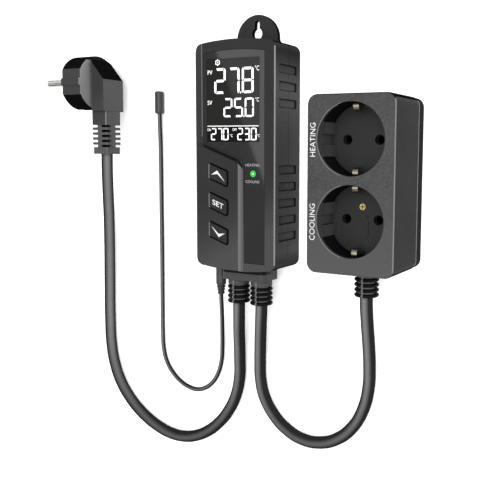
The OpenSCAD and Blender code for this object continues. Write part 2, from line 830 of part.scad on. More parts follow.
// Lamp, sounder, chip and the screws of the display board
module lamp_lens() {
    color([0.2, 0.85, 0.35]) post([lamp_x, lamp_y], [frame_z + lamp_body_h, body_t], lamp_r);
}
module lamp_body() {
    color([0.9, 0.9, 0.85]) post([lamp_x, lamp_y], [frame_z, frame_z + lamp_body_h], lamp_body_r);
}
module sounder() {
    color([0.08, 0.08, 0.08]) difference() {
        post([lamp_x, sounder_y], [frame_z, frame_z + sounder_h], sounder_r);
        post([lamp_x, sounder_y], [frame_z + sounder_h / 2, frame_z + sounder_h + over], small_screw_r);
    }
}
module control_chip() {
    color([0.07, 0.07, 0.08]) block([lamp_x - chip_w / 2, lamp_x + chip_w / 2],
        [chip_y - chip_w, chip_y], [frame_z, frame_z + chip_h]);
}
module display_screws() {
    color([0.7, 0.7, 0.72]) for (i = [-1, 1], y = peg_y)
        screw([i * peg_x, y], display_board_z - small_head_h, board_t + peg_r, small_screw_r,
            small_head_r, small_head_h);
}

// Power board and what stands on it
module power_board() {
    color([0.1, 0.32, 0.16]) difference() {
        block([-power_x, power_x], [power_low_y, power_high_y], [power_z, power_top]);
        for (p = stand_spots) post(p, [power_z - over, power_top + over], small_screw_r + fit);
    }
}
module relay(x) {
    block([x, x + relay_size[0]], [relay_y, relay_y + relay_size[1]],
        [power_top + relay_case_gap, power_top + relay_size[2]]);
    block([x + relay_case_gap, x + relay_size[0] - relay_case_gap],
        [relay_y + relay_case_gap, relay_y + relay_size[1] - relay_case_gap],
        [power_top, power_top + relay_size[2] - relay_case_gap]);
}
module heating_relay() {
    color([0.15, 0.3, 0.6]) relay(relay_x[0]);
}
module cooling_relay() {
    color([0.15, 0.3, 0.6]) relay(relay_x[1]);
}
module transformer() {
    color([0.75, 0.65, 0.2]) {
        block([coil_at[0], coil_at[0] + coil_size[0]],
            [coil_at[1] + bobbin_inset, coil_at[1] + coil_size[1] - bobbin_inset],
            [power_top, power_top + coil_size[2]]);
        block([coil_at[0] + bobbin_inset, coil_at[0] + coil_size[0] - bobbin_inset],
            [coil_at[1], coil_at[1] + coil_size[1]], [power_top,
                power_top + coil_size[2] - bobbin_inset / 2]);
    }
}
module capacitor() {
    color([0.12, 0.15, 0.3]) difference() {
        post(capacitor_at, [power_top, power_top + capacitor_h], capacitor_r);
        translate([capacitor_at[0], capacitor_at[1], power_top + 2 * capacitor_groove])
            rotate_extrude() translate([capacitor_r, capacitor_groove]) circle(capacitor_groove);
    }
}
module fuse() {
    z = power_top + fuse_r + clip_t;
    color([0.85, 0.85, 0.8]) {
        rod_y(fuse_at[0], [fuse_at[1], fuse_at[1] + fuse_l], z, fuse_r - fuse_cap_rim);
        for (y = [fuse_at[1], fuse_at[1] + fuse_l - fuse_cap_l]) {
            rod_y(fuse_at[0], [y, y + fuse_cap_l], z, fuse_r);
            block([fuse_at[0] - fuse_r, fuse_at[0] + fuse_r], [y + clip_t, y + fuse_cap_l - clip_t],
                [power_top, z - fuse_cap_rim]);
        }
    }
}
module surge_disc() {
    color([0.15, 0.35, 0.7]) {
        rod_y(disc_at[0], [disc_at[1], disc_at[1] + disc_t], power_top + disc_r + clip_t, disc_r);
        for (i = [-1, 1]) post([disc_at[0] + i * disc_r / 2, disc_at[1] + disc_t / 2],
            [power_top, power_top + disc_r], clip_t / 2);
    }
}
module board_link() {
    color([0.08, 0.08, 0.08]) block([link_at[0], link_at[0] + link_size[0]],
        [link_at[1], link_at[1] + link_size[1]], [power_top, display_board_z]);
}
terminal_y = power_low_y;
module terminal_block() {
    color([0.1, 0.45, 0.2]) difference() {
        block([outlet_x - clamp_half, outlet_x + clamp_half], [terminal_y, terminal_y + terminal_l],
            [power_top, power_top + terminal_h]);
        for (x = [mains_x, output_x], a = lead_angles)
            rod_y(x + lead_ring * cos(a), [terminal_y - over, terminal_y + terminal_l / 2],
                outlet_z + lead_ring * sin(a), lead_r + fit);
    }
}
module board_screws() {
    color([0.7, 0.7, 0.72]) for (p = stand_spots)
        translate([0, 0, 2 * power_top + small_head_h]) mirror([0, 0, 1])
            screw(p, power_top, board_t + back_wall - over + fit, small_screw_r, small_head_r,
                small_head_h);
}
module case_screws() {
    color([0.55, 0.55, 0.57]) for (p = case_spots) screw(p, head_z, case_screw_l, screw_r, head_r, head_h);
}

// Cord clamp and the leads to the terminals
lead_angles = [90, 210, 330];
module clamp_bar() {
    color([0.2, 0.2, 0.21]) difference() {
        block([outlet_x - clamp_half, outlet_x + clamp_half], [clamp_y - clamp_w / 2,
            clamp_y + clamp_w / 2],
            [clamp_z, outlet_z + cord_r + clamp_t]);
        for (x = [mains_x, output_x])
            rod_y(x, [clamp_y - clamp_w, clamp_y + clamp_w], outlet_z, cord_r + cord_gap);
        post([outlet_x, clamp_y], [clamp_z - over, outlet_z + cord_r + clamp_t + over], screw_r + fit);
    }
}
module clamp_screw() {
    z = outlet_z + cord_r + clamp_t + head_h;
    color([0.7, 0.7, 0.72]) translate([0, 0, z]) mirror([0, 0, 1])
        screw([outlet_x, clamp_y], 0, z - saddle_z + clamp_screw_l - head_h - over, screw_r, head_r,
            head_h);
}
module leads(a) {
    for (x = [mains_x, output_x])
        rod_y(x + lead_ring * cos(a), [cord_in_y, terminal_y + terminal_l / 4],
            outlet_z + lead_ring * sin(a), lead_r);
}
module live_leads() {
    color([0.4, 0.22, 0.12]) leads(lead_angles[0]);
}
module neutral_leads() {
    color([0.15, 0.35, 0.75]) leads(lead_angles[1]);
}
module earth_leads() {
    color([0.45, 0.65, 0.15]) leads(lead_angles[2]);
}

// Strain relief along Z, its outer face of the wall at Z 0 and its ribs above
module relief(wall_t) {
    difference() {
        union() {
            translate([0, 0, -wall_t - relief_anchor_t - fit]) cylinder(r = relief_anchor_r,
                h = relief_anchor_t);
            translate([0, 0, -wall_t - relief_anchor_t]) cylinder(r = relief_neck_r,
                h = wall_t + relief_anchor_t + over);
            cylinder(r = relief_collar_r, h = relief_collar_t);
            cylinder(r = relief_core_r, h = relief_collar_t + relief_ribs * rib_pitch);
            for (i = [1:relief_ribs]) translate([0, 0, relief_collar_t + i * rib_pitch - rib_t / 2])
                rotate_extrude() {
                    translate([0, -rib_t / 2]) square([relief_r - rib_t / 2, rib_t]);
                    translate([relief_r - rib_t / 2, 0]) circle(rib_t / 2);
                }
            for (turn = [0, 90]) rotate(turn) translate([-relief_web_w / 2, -relief_r + rib_t / 2, 0])
                cube([relief_web_w, 2 * relief_r - rib_t,
                    relief_collar_t + relief_ribs * rib_pitch - rib_t]);
        }
        translate([0, 0, -wall_t - relief_anchor_t - over])
            cylinder(r = cord_r + cord_gap, h = wall_t + relief_anchor_t + relief_collar_t
                + relief_ribs * rib_pitch + 2 * over);
    }
}
module mains_relief() {
    color([0.13, 0.13, 0.14]) translate([mains_x, outlet_end_y, outlet_z]) rotate([90, 0, 0])
        relief(outlet_floor);
}
module output_relief() {
    color([0.13, 0.13, 0.14]) translate([output_x, outlet_end_y, outlet_z]) rotate([90, 0, 0])
        relief(outlet_floor);
}
module box_relief() {
    color([0.13, 0.13, 0.14]) translate([box_x, box_low_y, box_relief_z]) rotate([90, 0, 0])
        relief(box_wall);
}
cord_sides = 12;
thin_cord_sides = 8;
module mains_cord() {
    color([0.2, 0.2, 0.21]) swept_tube(mains_route, cord_r, cord_sides);
}
module output_cord() {
    color([0.2, 0.2, 0.21]) swept_tube(output_route, cord_r, cord_sides);
}

// Probe: socket in the controller, jack, cord and tip
module probe_socket() {
    color([0.08, 0.08, 0.08]) difference() {
        union() {
            block([probe_x - socket_block_w / 2, probe_x + socket_block_w / 2], socket_block_y,
                [probe_z - socket_block_w / 2, probe_z + socket_block_w / 2]);
            rod_y(probe_x, [nose_end_y, socket_block_y[0] + over], probe_z, socket_nose_r);
        }
        rod_y(probe_x, [nose_end_y - over, jack_face_y + jack_l + bite], probe_z, jack_r + slide_fit);
    }
}
module jack_plug() {
    body_end_y = jack_face_y - jack_body_l;
    color([0.16, 0.16, 0.17]) difference() {
        union() {
            rod_y(probe_x, [body_end_y, jack_face_y], probe_z, jack_body_r);
            translate([probe_x, body_end_y, probe_z]) rotate([90, 0, 0])
                cylinder(r1 = jack_body_r, r2 = jack_neck_r, h = jack_neck_l);
        }
        rod_y(probe_x, [jack_face_y - jack_root_l, jack_face_y + over], probe_z, jack_r + slide_fit);
        rod_y(probe_x, [body_end_y - jack_neck_l - over, probe_route[0][1]], probe_z, probe_r + slide_fit);
        for (i = [1:jack_ribs]) translate([probe_x, body_end_y - i * jack_neck_l / (jack_ribs + 1),
            probe_z])
            rotate([90, 0, 0]) rotate_extrude()
                translate([jack_body_r + (jack_neck_r - jack_body_r) * i / (jack_ribs + 1), 0])
                    circle(jack_groove);
    }
}
module jack_pin() {
    color([0.8, 0.8, 0.82]) difference() {
        union() {
            rod_y(probe_x, [jack_face_y - jack_root_l + fit, jack_face_y + jack_l - jack_r], probe_z,
                jack_r);
            translate([probe_x, jack_face_y + jack_l - jack_r, probe_z]) rotate([-90, 0, 0])
                cylinder(r1 = jack_r, r2 = jack_r / 2, h = jack_r);
        }
        for (i = [1, 2]) translate([probe_x, jack_face_y + i * jack_l / 3, probe_z]) rotate([90, 0, 0])
            rotate_extrude() translate([jack_r, 0]) circle(jack_groove / 2);
    }
}
module probe_cord() {
    color([0.18, 0.18, 0.19]) swept_tube(probe_route, probe_r, thin_cord_sides);
}
module probe_tip() {
    color([0.14, 0.14, 0.15]) difference() {
        union() {
            rod_y(tip_x, [tip_y + tip_round, tip_y + tip_l - tip_round], tip_lift, tip_r);
            for (end = [0, 1]) translate([tip_x, tip_y + end * tip_l, tip_lift])
                rotate([end == 0 ? -90 : 90, 0, 0])
                    cylinder(r1 = tip_r - tip_round, r2 = tip_r, h = tip_round);
        }
        rod_y(tip_x, [tip_y - over, tip_y + tip_socket_l], tip_lift, probe_r + slide_fit);
    }
}

// Mains plug, lying on the guide bar of its barrel
module barrel_outline() {
    intersection() {
        circle(barrel_d / 2);
        square([barrel_flats, barrel_d], center = true);
    }
    square([barrel_flats + 2 * guide_h, guide_w], center = true);
}
// The body behind the barrel, seen from the cord's end, with both edges beside the barrel cut off
module plug_section() {
    half = plug_body_t / 2;
    polygon([[-over, half - plug_edge - over], [plug_edge, half], [plug_body_l + over, half],
        [plug_body_l + over, -half], [plug_edge, -half], [-over, plug_edge + over - half]]);
}
module plug_body() {
    color([0.14, 0.14, 0.15]) difference() {
        union() {
            translate([plug_face_x, plug_y, plug_z]) rotate([0, 90, 0]) linear_extrude(barrel_l)
                barrel_outline();
            intersection() {
                translate([0, 0, plug_z - plug_body_t / 2]) linear_extrude(plug_body_t)
                    polygon([[plug_back_x - over, plug_body_low_y], [plug_end_x, plug_body_low_y],
                        [plug_end_x, plug_slope_y], [plug_back_x + plug_chamfer, plug_body_high_y],
                        [plug_back_x - over, plug_body_high_y]]);
                translate([plug_back_x, plug_body_high_y + over, plug_z]) rotate([90, 0, 0])
                    linear_extrude(plug_body_high_y - plug_body_low_y + 2 * over) plug_section();
            }
            block([plug_relief_x - plug_relief_w / 2, plug_relief_x + plug_relief_w / 2],
                [plug_neck_y, plug_body_low_y + over], [plug_z - plug_relief_h / 2,
                    plug_z + plug_relief_h / 2]);
        }
        for (i = [-1, 1]) {
            rod_x([plug_face_x - over, plug_face_x + pin_root_l], plug_y, plug_z + i * pin_pitch / 2,
                pin_root_d / 2 + slide_fit);
            block([plug_face_x - over, plug_back_x - earth_end + fit],
                [min(plug_y + i * barrel_d / 2 - i * earth_recess, plug_y + i * barrel_d / 2 + i * over),
                max(plug_y + i * barrel_d / 2 - i * earth_recess, plug_y + i * barrel_d / 2 + i * over)],
                [plug_z - earth_w / 2 - fit, plug_z + earth_w / 2 + fit]);
        }
        rod_y(plug_relief_x, [plug_neck_y - over, plug_cord_y + fit], plug_z, cord_r + cord_gap);
    }
}
module plug_pins() {
    color([0.8, 0.8, 0.82]) for (i = [-1, 1]) translate([0, 0, plug_z + i * pin_pitch / 2]) {
        rod_x([plug_face_x - pin_l + pin_round, plug_face_x - fit], plug_y, 0, pin_d / 2);
        rod_x([plug_face_x - fit - over, plug_face_x + pin_root_l - fit], plug_y, 0, pin_root_d / 2);
        translate([plug_face_x - pin_l, plug_y, 0]) rotate([0, 90, 0])
            cylinder(r1 = pin_d / 2 - pin_round, r2 = pin_d / 2, h = pin_round);
    }
}
module plug_earth_contacts() {
    color([0.78, 0.7, 0.45]) for (i = [-1, 1]) {
        y = plug_y + i * (barrel_d / 2 - earth_recess);
        block([plug_face_x + fit, plug_back_x - earth_end],
            [min(y, y + i * earth_t), max(y, y + i * earth_t)],
            [plug_z - earth_w / 2, plug_z + earth_w / 2]);
    }
}
module plug_relief() {
    low_y = plug_neck_y - plug_relief_l;
    cut = plug_relief_h / 2 + over - plug_arm;
    color([0.13, 0.13, 0.14]) difference() {
        union() {
            plug_sleeve([low_y, low_y + plug_collar_l + over], plug_collar_inset);
            plug_sleeve([low_y + plug_collar_l, plug_neck_y], 0);
        }
        for (i = [0:plug_ribs - 1]) difference() {
            for (j = [-1, 1], k = [-1, 1]) translate([plug_relief_x + j * (plug_arm + cut / 2),
                plug_neck_y - i * plug_rib_pitch, plug_z + k * (plug_arm + cut / 2)])
                block([-cut / 2, cut / 2], [-plug_rib_gap, i == 0 ? over : 0], [-cut / 2, cut / 2]);
            rod_y(plug_relief_x, [low_y, plug_neck_y + 2 * over], plug_z,
                cord_r + cord_gap + plug_core_wall);
        }
        rod_y(plug_relief_x, [low_y - over, plug_neck_y + over], plug_z, cord_r + cord_gap);
    }
}
module plug_sleeve(y, inset) {
    half_w = plug_relief_w / 2 - inset;
    half_h = plug_relief_h / 2 - inset;
    block([plug_relief_x - half_w, plug_relief_x + half_w], y, [plug_z - half_h, plug_z + half_h]);
}

// Socket box
box_spots = [for (i = [-1, 1], j = [-1, 1])
    [box_x + i * (box_w / 2 - box_screw_inset), box_y + j * (box_h / 2 - box_screw_inset)]];
module box_front() {
    color([0.22, 0.22, 0.23]) difference() {
        union() {
            difference() {
                rounded_box([box_x, box_y], box_w, box_h, box_r, [cover_t, box_t]);
                rounded_box([box_x, box_y], box_w - 2 * box_wall, box_h - 2 * box_wall, box_r - box_wall,
                    [cover_t - over, rim_z]);
            }
            for (p = box_spots) post(p, [cover_t, rim_z + bite], box_post_r);
        }
        for (p = box_spots) post(p, [cover_t - over, head_z + head_h + box_screw_l + bite],
            screw_r + screw_fit);
        for (y = socket_spots) post([box_x, y], [rim_z - over, box_t + over], socket_r);
        rod_y(box_x, [box_low_y - over, box_low_y + box_wall + over], box_relief_z, relief_neck_r + fit);
    }
}
module rounded_ring(low, high) {
    difference() {
        rounded_box([box_x, box_y], box_w - 2 * box_wall + bite, box_h - 2 * box_wall + bite,
            box_r - box_wall,
            [low, high]);
        rounded_box([box_x, box_y], box_w - 2 * box_wall - 2 * box_lip_w,
            box_h - 2 * box_wall - 2 * box_lip_w,
            box_r - box_wall - box_lip_w, [low - over, high + over]);
    }
}
module box_cover() {
    color([0.16, 0.16, 0.17]) difference() {
        union() {
            difference() {
                rounded_box([box_x, box_y], box_w - 2 * cover_inset, box_h - 2 * cover_inset,
                    box_r - cover_inset,
                    [0, cover_t]);
                rounded_box([box_x, box_y], box_w - 2 * box_wall, box_h - 2 * box_wall, box_r - box_wall,
                    [box_wall, cover_t + over]);
            }
            difference() {
                rounded_box([box_x, box_y], box_w - 2 * box_wall - 2 * fit, box_h - 2 * box_wall - 2 * fit,
                    box_r - box_wall - fit, [cover_t - box_lip_h, cover_t + box_lip_h]);
                rounded_box([box_x, box_y], box_w - 2 * box_wall - 2 * box_lip_w,
                    box_h - 2 * box_wall - 2 * box_lip_w, box_r - box_wall - box_lip_w,
                    [cover_t - box_lip_h - over, cover_t + box_lip_h + over]);
                for (p = box_spots) post(p, [cover_t, cover_t + box_lip_h + over], box_post_r + fit);
            }
            rounded_ring(cover_t - box_lip_h, cover_t);
            for (p = box_spots) post(p, [box_wall - bite, cover_t], box_post_r);
        }
        for (p = box_spots) {
            post(p, [-over, head_z + head_h], head_r + fit);
            post(p, [head_z, cover_t + over], screw_r + fit);
        }
    }
}
module box_screws() {
    color([0.55, 0.55, 0.57]) for (p = box_spots) screw(p, head_z, box_screw_l, screw_r, head_r, head_h);
}

// A socket insert: a cup with guide blocks, pin holes and slots for the earth contacts
module insert(y, has_screw) {
    floor_low_z = floor_z - cup_floor_t;
    color([0.1, 0.1, 0.11]) difference() {
        union() {
            difference() {
                post([box_x, y], [floor_low_z, rim_z], socket_r + cup_wall);
                post([box_x, y], [floor_z, rim_z + over], socket_r);
            }
            for (i = [-1, 1], j = [-1, 1]) intersection() {
                post([box_x, y], [floor_z - bite, floor_z + guide_block_h], socket_r + bite);
                block([min(box_x + i * guide_reach, box_x + i * (socket_r + over)),
                    max(box_x + i * guide_reach, box_x + i * (socket_r + over))],
                    [min(y + j * guide_slot_half, y + j * guide_block_half),
                    max(y + j * guide_slot_half, y + j * guide_block_half)],
                    [floor_z - bite, floor_z + guide_block_h]);
            }
            if (has_screw) translate([box_x, y + boss_shift, floor_z - bite])
                linear_extrude(bite + boss_slot_h) rounded(boss_slot_w, boss_slot_l,
                    boss_slot_w / 2 - sliver);
        }
        for (i = [-1, 1]) {
            post([box_x + i * pin_pitch / 2, y], [floor_low_z - over, floor_z + over], hole_r);
            block([box_x - clip_w / 2 - clip_gap, box_x + clip_w / 2 + clip_gap],
                [min(y + i * (clip_reach - clip_metal - clip_gap), y + i * (clip_reach + clip_gap)),
                max(y + i * (clip_reach - clip_metal - clip_gap), y + i * (clip_reach + clip_gap))],
                [floor_low_z - over, floor_z + over]);
        }
        if (has_screw) {
            post([box_x, y + brass_shift], [floor_low_z - over, floor_z + over], brass_r + fit);
            post([box_x, y + brass_shift], [floor_z - brass_head_h, floor_z + over], brass_head_r + fit);
        }
    }
}
module heating_insert() {
    insert(socket_spots[0], false);
}
module cooling_insert() {
    insert(socket_spots[1], true);
}

// Earth strap under an insert, with a springy contact at the top and the bottom of the recess
module earth_strap(y, has_screw) {
    low_z = floor_z - cup_floor_t;
    color([0.75, 0.66, 0.4]) difference() {
        union() {
            block([box_x - clip_w / 2, box_x + clip_w / 2], [y - clip_reach, y + clip_reach],
                [low_z - strap_t, low_z]);
            for (i = [-1, 1]) {
                block([box_x - clip_w / 2, box_x + clip_w / 2],
                    [min(y + i * clip_reach, y + i * (clip_reach - clip_metal)),
                    max(y + i * clip_reach, y + i * (clip_reach - clip_metal))], [low_z - strap_t,
                        clip_top_z]);
                rod_x([box_x - clip_w / 2, box_x + clip_w / 2], y + i * (clip_reach - clip_metal),
                    clip_bump_z,
                    clip_bump_r);
            }
        }
        for (i = [-1, 1]) block([box_x - clip_w, box_x + clip_w],
            [min(y + i * clip_reach, y + i * (socket_r + clip_bump_r)), max(y + i * clip_reach,
                y + i * (socket_r + clip_bump_r))],
            [low_z - 2 * strap_t, box_t]);
        if (has_screw) post([box_x, y + brass_shift], [low_z - 2 * strap_t, low_z + over], brass_r + fit);
    }
}
module heating_earth_strap() {
    earth_strap(socket_spots[0], false);
}
module cooling_earth_strap() {
    earth_strap(socket_spots[1], true);
}
module socket_screw() {
    y = socket_spots[1] + brass_shift;
    color([0.8, 0.65, 0.3]) translate([0, 0, floor_z]) mirror([0, 0, 1])
        screw([box_x, y], 0, brass_l, brass_r, brass_head_r, brass_head_h);
}

// Contacts that take the pins, each a strip with a sleeve under every hole
module contact(side, places, y) {
    x = box_x + side * pin_pitch / 2;
    color([0.72, 0.45, 0.2]) difference() {
        union() {
            block([x - bus_w / 2, x + bus_w / 2], y, [bus_z - bus_t, bus_z]);
            for (p = places) post([x, p], [bus_z - sleeve_l, bus_z + contact_neck_l],
                pin_d / 2 + sleeve_wall);
        }
        for (p = places) post([x, p], [bus_z - sleeve_l - over, bus_z + contact_neck_l + over],
            pin_d / 2 + slide_fit);
    }
}
contact_neck_l = 2.8;
contact_end = 5;
contact_foot = 9;
contact_foot_y = box_low_y + contact_foot;
module heating_live_contact() {
    contact(-1, [socket_spots[0]], [socket_spots[0] - contact_end, socket_spots[0] + contact_end]);
}
module cooling_live_contact() {
    contact(-1, [socket_spots[1]], [socket_spots[1] - contact_end, socket_spots[1] + contact_end]);
}
module neutral_contacts() {
    contact(1, socket_spots, [contact_foot_y, socket_spots[0] + contact_end]);
}

// Insulated wires in the socket box and from the probe socket to the power board
wire_r = 0.7;
wire_ring = 1.7;
wire_bend = 6;
wire_tilt = 0.2;
box_cord_end_y = output_route[len(output_route) - 1][1];
module box_leads() {
    low = bus_z - bus_t;
    ends = [[-pin_pitch / 2, socket_spots[1] - contact_end + wire_r],
        [-pin_pitch / 2, socket_spots[0] - contact_end + wire_r], [pin_pitch / 2, contact_foot_y + wire_r]];
    color([0.4, 0.22, 0.12]) for (i = [0:2]) {
        start = [box_x + wire_ring * cos(lead_angles[i]), box_cord_end_y,
            box_relief_z - wire_ring * sin(lead_angles[i])];
        stop = [box_x + ends[i][0] + (i == 1 ? wire_bend : 0), ends[i][1] - (i == 2 ? wire_r : wire_bend),
            low - wire_bend];
        tail = [box_x + ends[i][0], ends[i][1] - wire_tilt, low - wire_bend / 2];
        end = tail + [0, wire_tilt, wire_bend / 2 - wire_tilt];
        swept_tube([start, start + [0, wire_r, 0], stop, tail, end], wire_r, thin_cord_sides);
    }
}
module sensor_leads() {
    color([0.12, 0.12, 0.12]) for (i = [0, 1]) {
        x = probe_x + socket_block_w / 2 - wire_r - i * (wire_ring + fit / 2);
        y = terminal_y + wire_bend / 2;
        swept_tube([[x, socket_block_y[1], probe_z], [x, socket_block_y[1] + wire_ring, probe_z],
            [x, y - wire_tilt, power_top + wire_ring], [x, y, power_top + wire_tilt]], wire_r,
            thin_cord_sides);
    }
}

front_shell();
rear_shell();
cord_outlet();
display_window();
lcd_glass();
lcd_frame();
back_light();
display_board();
up_button();
set_button();
down_button();
button_switches();
lamp_lens();
lamp_body();
sounder();
control_chip();
display_screws();
power_board();
heating_relay();
cooling_relay();
transformer();
capacitor();
fuse();
surge_disc();
board_link();
terminal_block();
board_screws();
case_screws();
clamp_bar();
clamp_screw();
live_leads();
neutral_leads();
earth_leads();
mains_relief();
output_relief();
mains_cord();
output_cord();
probe_socket();
jack_plug();
jack_pin();
probe_cord();
probe_tip();
plug_body();
plug_pins();
plug_earth_contacts();
plug_relief();
box_front();
box_cover();
heating_insert();
cooling_insert();
heating_live_contact();
cooling_live_contact();
neutral_contacts();
heating_earth_strap();
cooling_earth_strap();
socket_screw();
box_screws();
box_relief();
box_leads();
sensor_leads();
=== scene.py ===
import math
from functools import partialmethod, reduce

import bmesh
import bpy
from bpy.props import FloatProperty, FloatVectorProperty, PointerProperty
from mathutils import Matrix, Vector


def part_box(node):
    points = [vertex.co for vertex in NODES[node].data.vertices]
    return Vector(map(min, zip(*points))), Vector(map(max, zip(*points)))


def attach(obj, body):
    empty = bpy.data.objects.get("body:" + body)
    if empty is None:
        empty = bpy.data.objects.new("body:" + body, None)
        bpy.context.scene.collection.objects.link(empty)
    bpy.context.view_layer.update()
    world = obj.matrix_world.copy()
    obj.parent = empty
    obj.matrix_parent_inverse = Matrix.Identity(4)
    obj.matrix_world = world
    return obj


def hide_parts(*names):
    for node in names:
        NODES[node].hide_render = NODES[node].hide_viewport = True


bl_info = {
    "name": "Temperature controller looks",
    "version": (1, 0, 0),
    "blender": (4, 5, 0),
    "location": "3D View > Sidebar > Controller",
    "description": "Dresses a temperature controller with its probe, mains plug and socket box",
    "category": "Object",
}

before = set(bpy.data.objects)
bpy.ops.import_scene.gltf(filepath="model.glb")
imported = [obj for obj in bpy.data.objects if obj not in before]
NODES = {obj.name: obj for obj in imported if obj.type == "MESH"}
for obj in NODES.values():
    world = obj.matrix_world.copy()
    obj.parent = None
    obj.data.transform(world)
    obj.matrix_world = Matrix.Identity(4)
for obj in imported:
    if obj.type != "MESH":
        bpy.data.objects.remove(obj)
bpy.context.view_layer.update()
MM = 0.001

# Outline of the controller's case and places on the model, all in mm
CASE_WIDTH = 57.0
CASE_CREST = 68.5
END_RISE = 2.5
ARCH_RADIUS = CASE_WIDTH ** 2 / (8 * END_RISE) + END_RISE / 2
CORNER_RADIUS = 5.0
CORNER_CENTRE_Y = 61.6
CASE_MIDDLE_Z = 14.5
GRIP_PLACES = (51.0, 41.1, 31.2, -7.4, -17.3, -27.2, -37.1, -47.0)
KEYHOLE = (0.0, 74.9)
OUTLET_X = 2.2
JACK_AXIS = (-19.5, 14.5)
TIP_AXIS = (-76.6, 3.0)
PLUG_AXIS = (-110.0, 17.4)
PLUG_FACE_CENTRE = (47.7, 17.4)
BOX_CENTRE = (82.0, -14.0)
SOCKET_SPOTS = {"heating_insert": (82.0, 10.15), "cooling_insert": (82.0, -33.35)}
RELIEFS = ((-6.0, 14.5, -78.3), (10.4, 14.5, -78.3), (82.0, 18.0, -65.5))
CORD_THICK = 7.5
PROBE_CORD_THICK = 2.8


def low(node):
    return Vector(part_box(node)[0])


def high(node):
    return Vector(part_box(node)[1])


class Sum:
    """A socket's value that takes part in sums written with the usual signs."""

    def __init__(self, finish, socket):
        self.finish = finish
        self.socket = socket

    def _with(self, operation, *others):
        return self.finish.operate(operation, self, *others)

    def __rsub__(self, other):
        return self.finish.operate("SUBTRACT", other, self)

    __add__ = __radd__ = partialmethod(_with, "ADD")
    __mul__ = __rmul__ = partialmethod(_with, "MULTIPLY")
    __sub__ = partialmethod(_with, "SUBTRACT")
    __truediv__ = partialmethod(_with, "DIVIDE")
    __gt__ = partialmethod(_with, "GREATER_THAN")
    __lt__ = partialmethod(_with, "LESS_THAN")
    __abs__ = partialmethod(_with, "ABSOLUTE")


class Finish:
    """A material in the making."""

    def __init__(self, name, roughness=0.5, **constants):
        self.material = bpy.data.materials.new(name)
        self.material.use_nodes = True
        self.tree = self.material.node_tree
        self.shader = self.tree.nodes["Principled BSDF"]
        self.put("Roughness", roughness)
        for key, value in constants.items():
            self.put(key.replace("_", " "), value)
        self.place = self.add("ShaderNodeTexCoord", {}, "Object")

    def add(self, kind, sockets, output=0, **settings):
        """Adds a node with its settings and the values of its sockets, and gives one of its outputs."""
        node = self.tree.nodes.new(kind)
        for key, value in settings.items():
            setattr(node, key, value)
        for key, value in sockets.items():
            self.join(node.inputs[key], value)
        return Sum(self, node.outputs[output])

    def join(self, socket, value):
        if isinstance(value, Sum):
            self.tree.links.new(value.socket, socket)
        elif isinstance(value, (tuple, list, Vector)) and len(value) == 3 and socket.type == "RGBA":
            socket.default_value = (*value, 1)
        else:
            socket.default_value = value

    def put(self, key, value):
        self.join(self.shader.inputs[key], value)

    def tint(self, value):
        self.put("Base Color", value)

    def rough(self, value, first, last, end=0.7):
        """Roughness between two values, as a noise varies."""
        self.put("Roughness", self.level(value, 0.3, end, first, last))

    def bump(self, height, distance):
        self.put("Normal", self.add("ShaderNodeBump", {"Height": height, "Distance": distance}))

    def mix(self, factor, first, second):
        return self.add("ShaderNodeMix", {0: factor, 6: first, 7: second}, 2, data_type="RGBA")

    def noise(self, scale, detail=2.0, place=None, rough=0.5):
        sockets = {"Vector": place or self.place, "Scale": scale, "Detail": detail, "Roughness": rough}
        return self.add("ShaderNodeTexNoise", sockets, "Fac")

    def xyz(self):
        node = self.add("ShaderNodeSeparateXYZ", {0: self.place}).socket.node
        return [Sum(self, socket) for socket in node.outputs]

    def operate(self, operation, *values):
        return self.add("ShaderNodeMath", dict(enumerate(values)), operation=operation)

    least = partialmethod(operate, "MINIMUM")
    most = partialmethod(operate, "MAXIMUM")

    def level(self, value, start, end, first=0.0, last=1.0):
        """Goes from the first value to the last one as a value goes from start to end."""
        sockets = dict(enumerate((value, start, end, first, last)))
        return self.add("ShaderNodeMapRange", sockets, clamp=True)

    def within(self, value, least=None, most=None):
        """1 where a value lies between two limits in mm, one of which may be left out."""
        parts = [] if least is None else [value > least * MM]
        if most is not None:
            parts.append(value < most * MM)
        return math.prod(parts[1:], start=parts[0])


# Least angle between two faces whose edge is rounded
SHARP = math.radians(25.0)


def scaled(colour, share):
    return tuple(share * part for part in colour)


def zone(**limits):
    """A rule for the block between two limits in mm along each axis that is named."""
    def rule(finish):
        places = dict(zip("xyz", finish.xyz()))
        parts = [finish.within(places[axis], *limits[axis]) for axis in limits]
        return math.prod(parts[1:], start=parts[0])
    return rule


# Painted highlights on the controller's front, and painted shadow on its outlet block where the case stands
# over it
slope_highlight = zone(x=(1.9, 6.55), y=(None, 4.0), z=(27.52, 28.98))
slope_foot_highlight = zone(x=(4.4, 6.55), y=(None, 4.0), z=(27.52, 28.98))
bevel_highlight_line = zone(x=(-23.0, -22.4), y=(12.0, None), z=(28.6, None))
rim_highlight = zone(x=(27.55, None), y=(-63.0, 63.0), z=(28.05, None))
left_rim_highlight = zone(x=(None, -28.0), y=(None, 12.0), z=(26.0, None))
outlet_root_shadow = zone(y=(-70.5, -68.4), z=(16.0, None))

# Painted highlight on the socket box's rim, its dark joint, and a painted highlight on the edge above the
# joint
box_rim = zone(x=(106.55, None), z=(42.1, 42.93))
box_joint = zone(z=(7.4, 8.2))
joint_edge_highlight = zone(z=(8.2, 9.1))

# Painted light on the flat back of the plug's barrel, and painted shade on its end above the neck
plug_shoulder_light = zone(x=(-116.75, -116.45), y=(None, 62.3), z=(12.0, None))
shoulder_end_shade = zone(x=(-116.75, -116.45), y=(62.3, None))


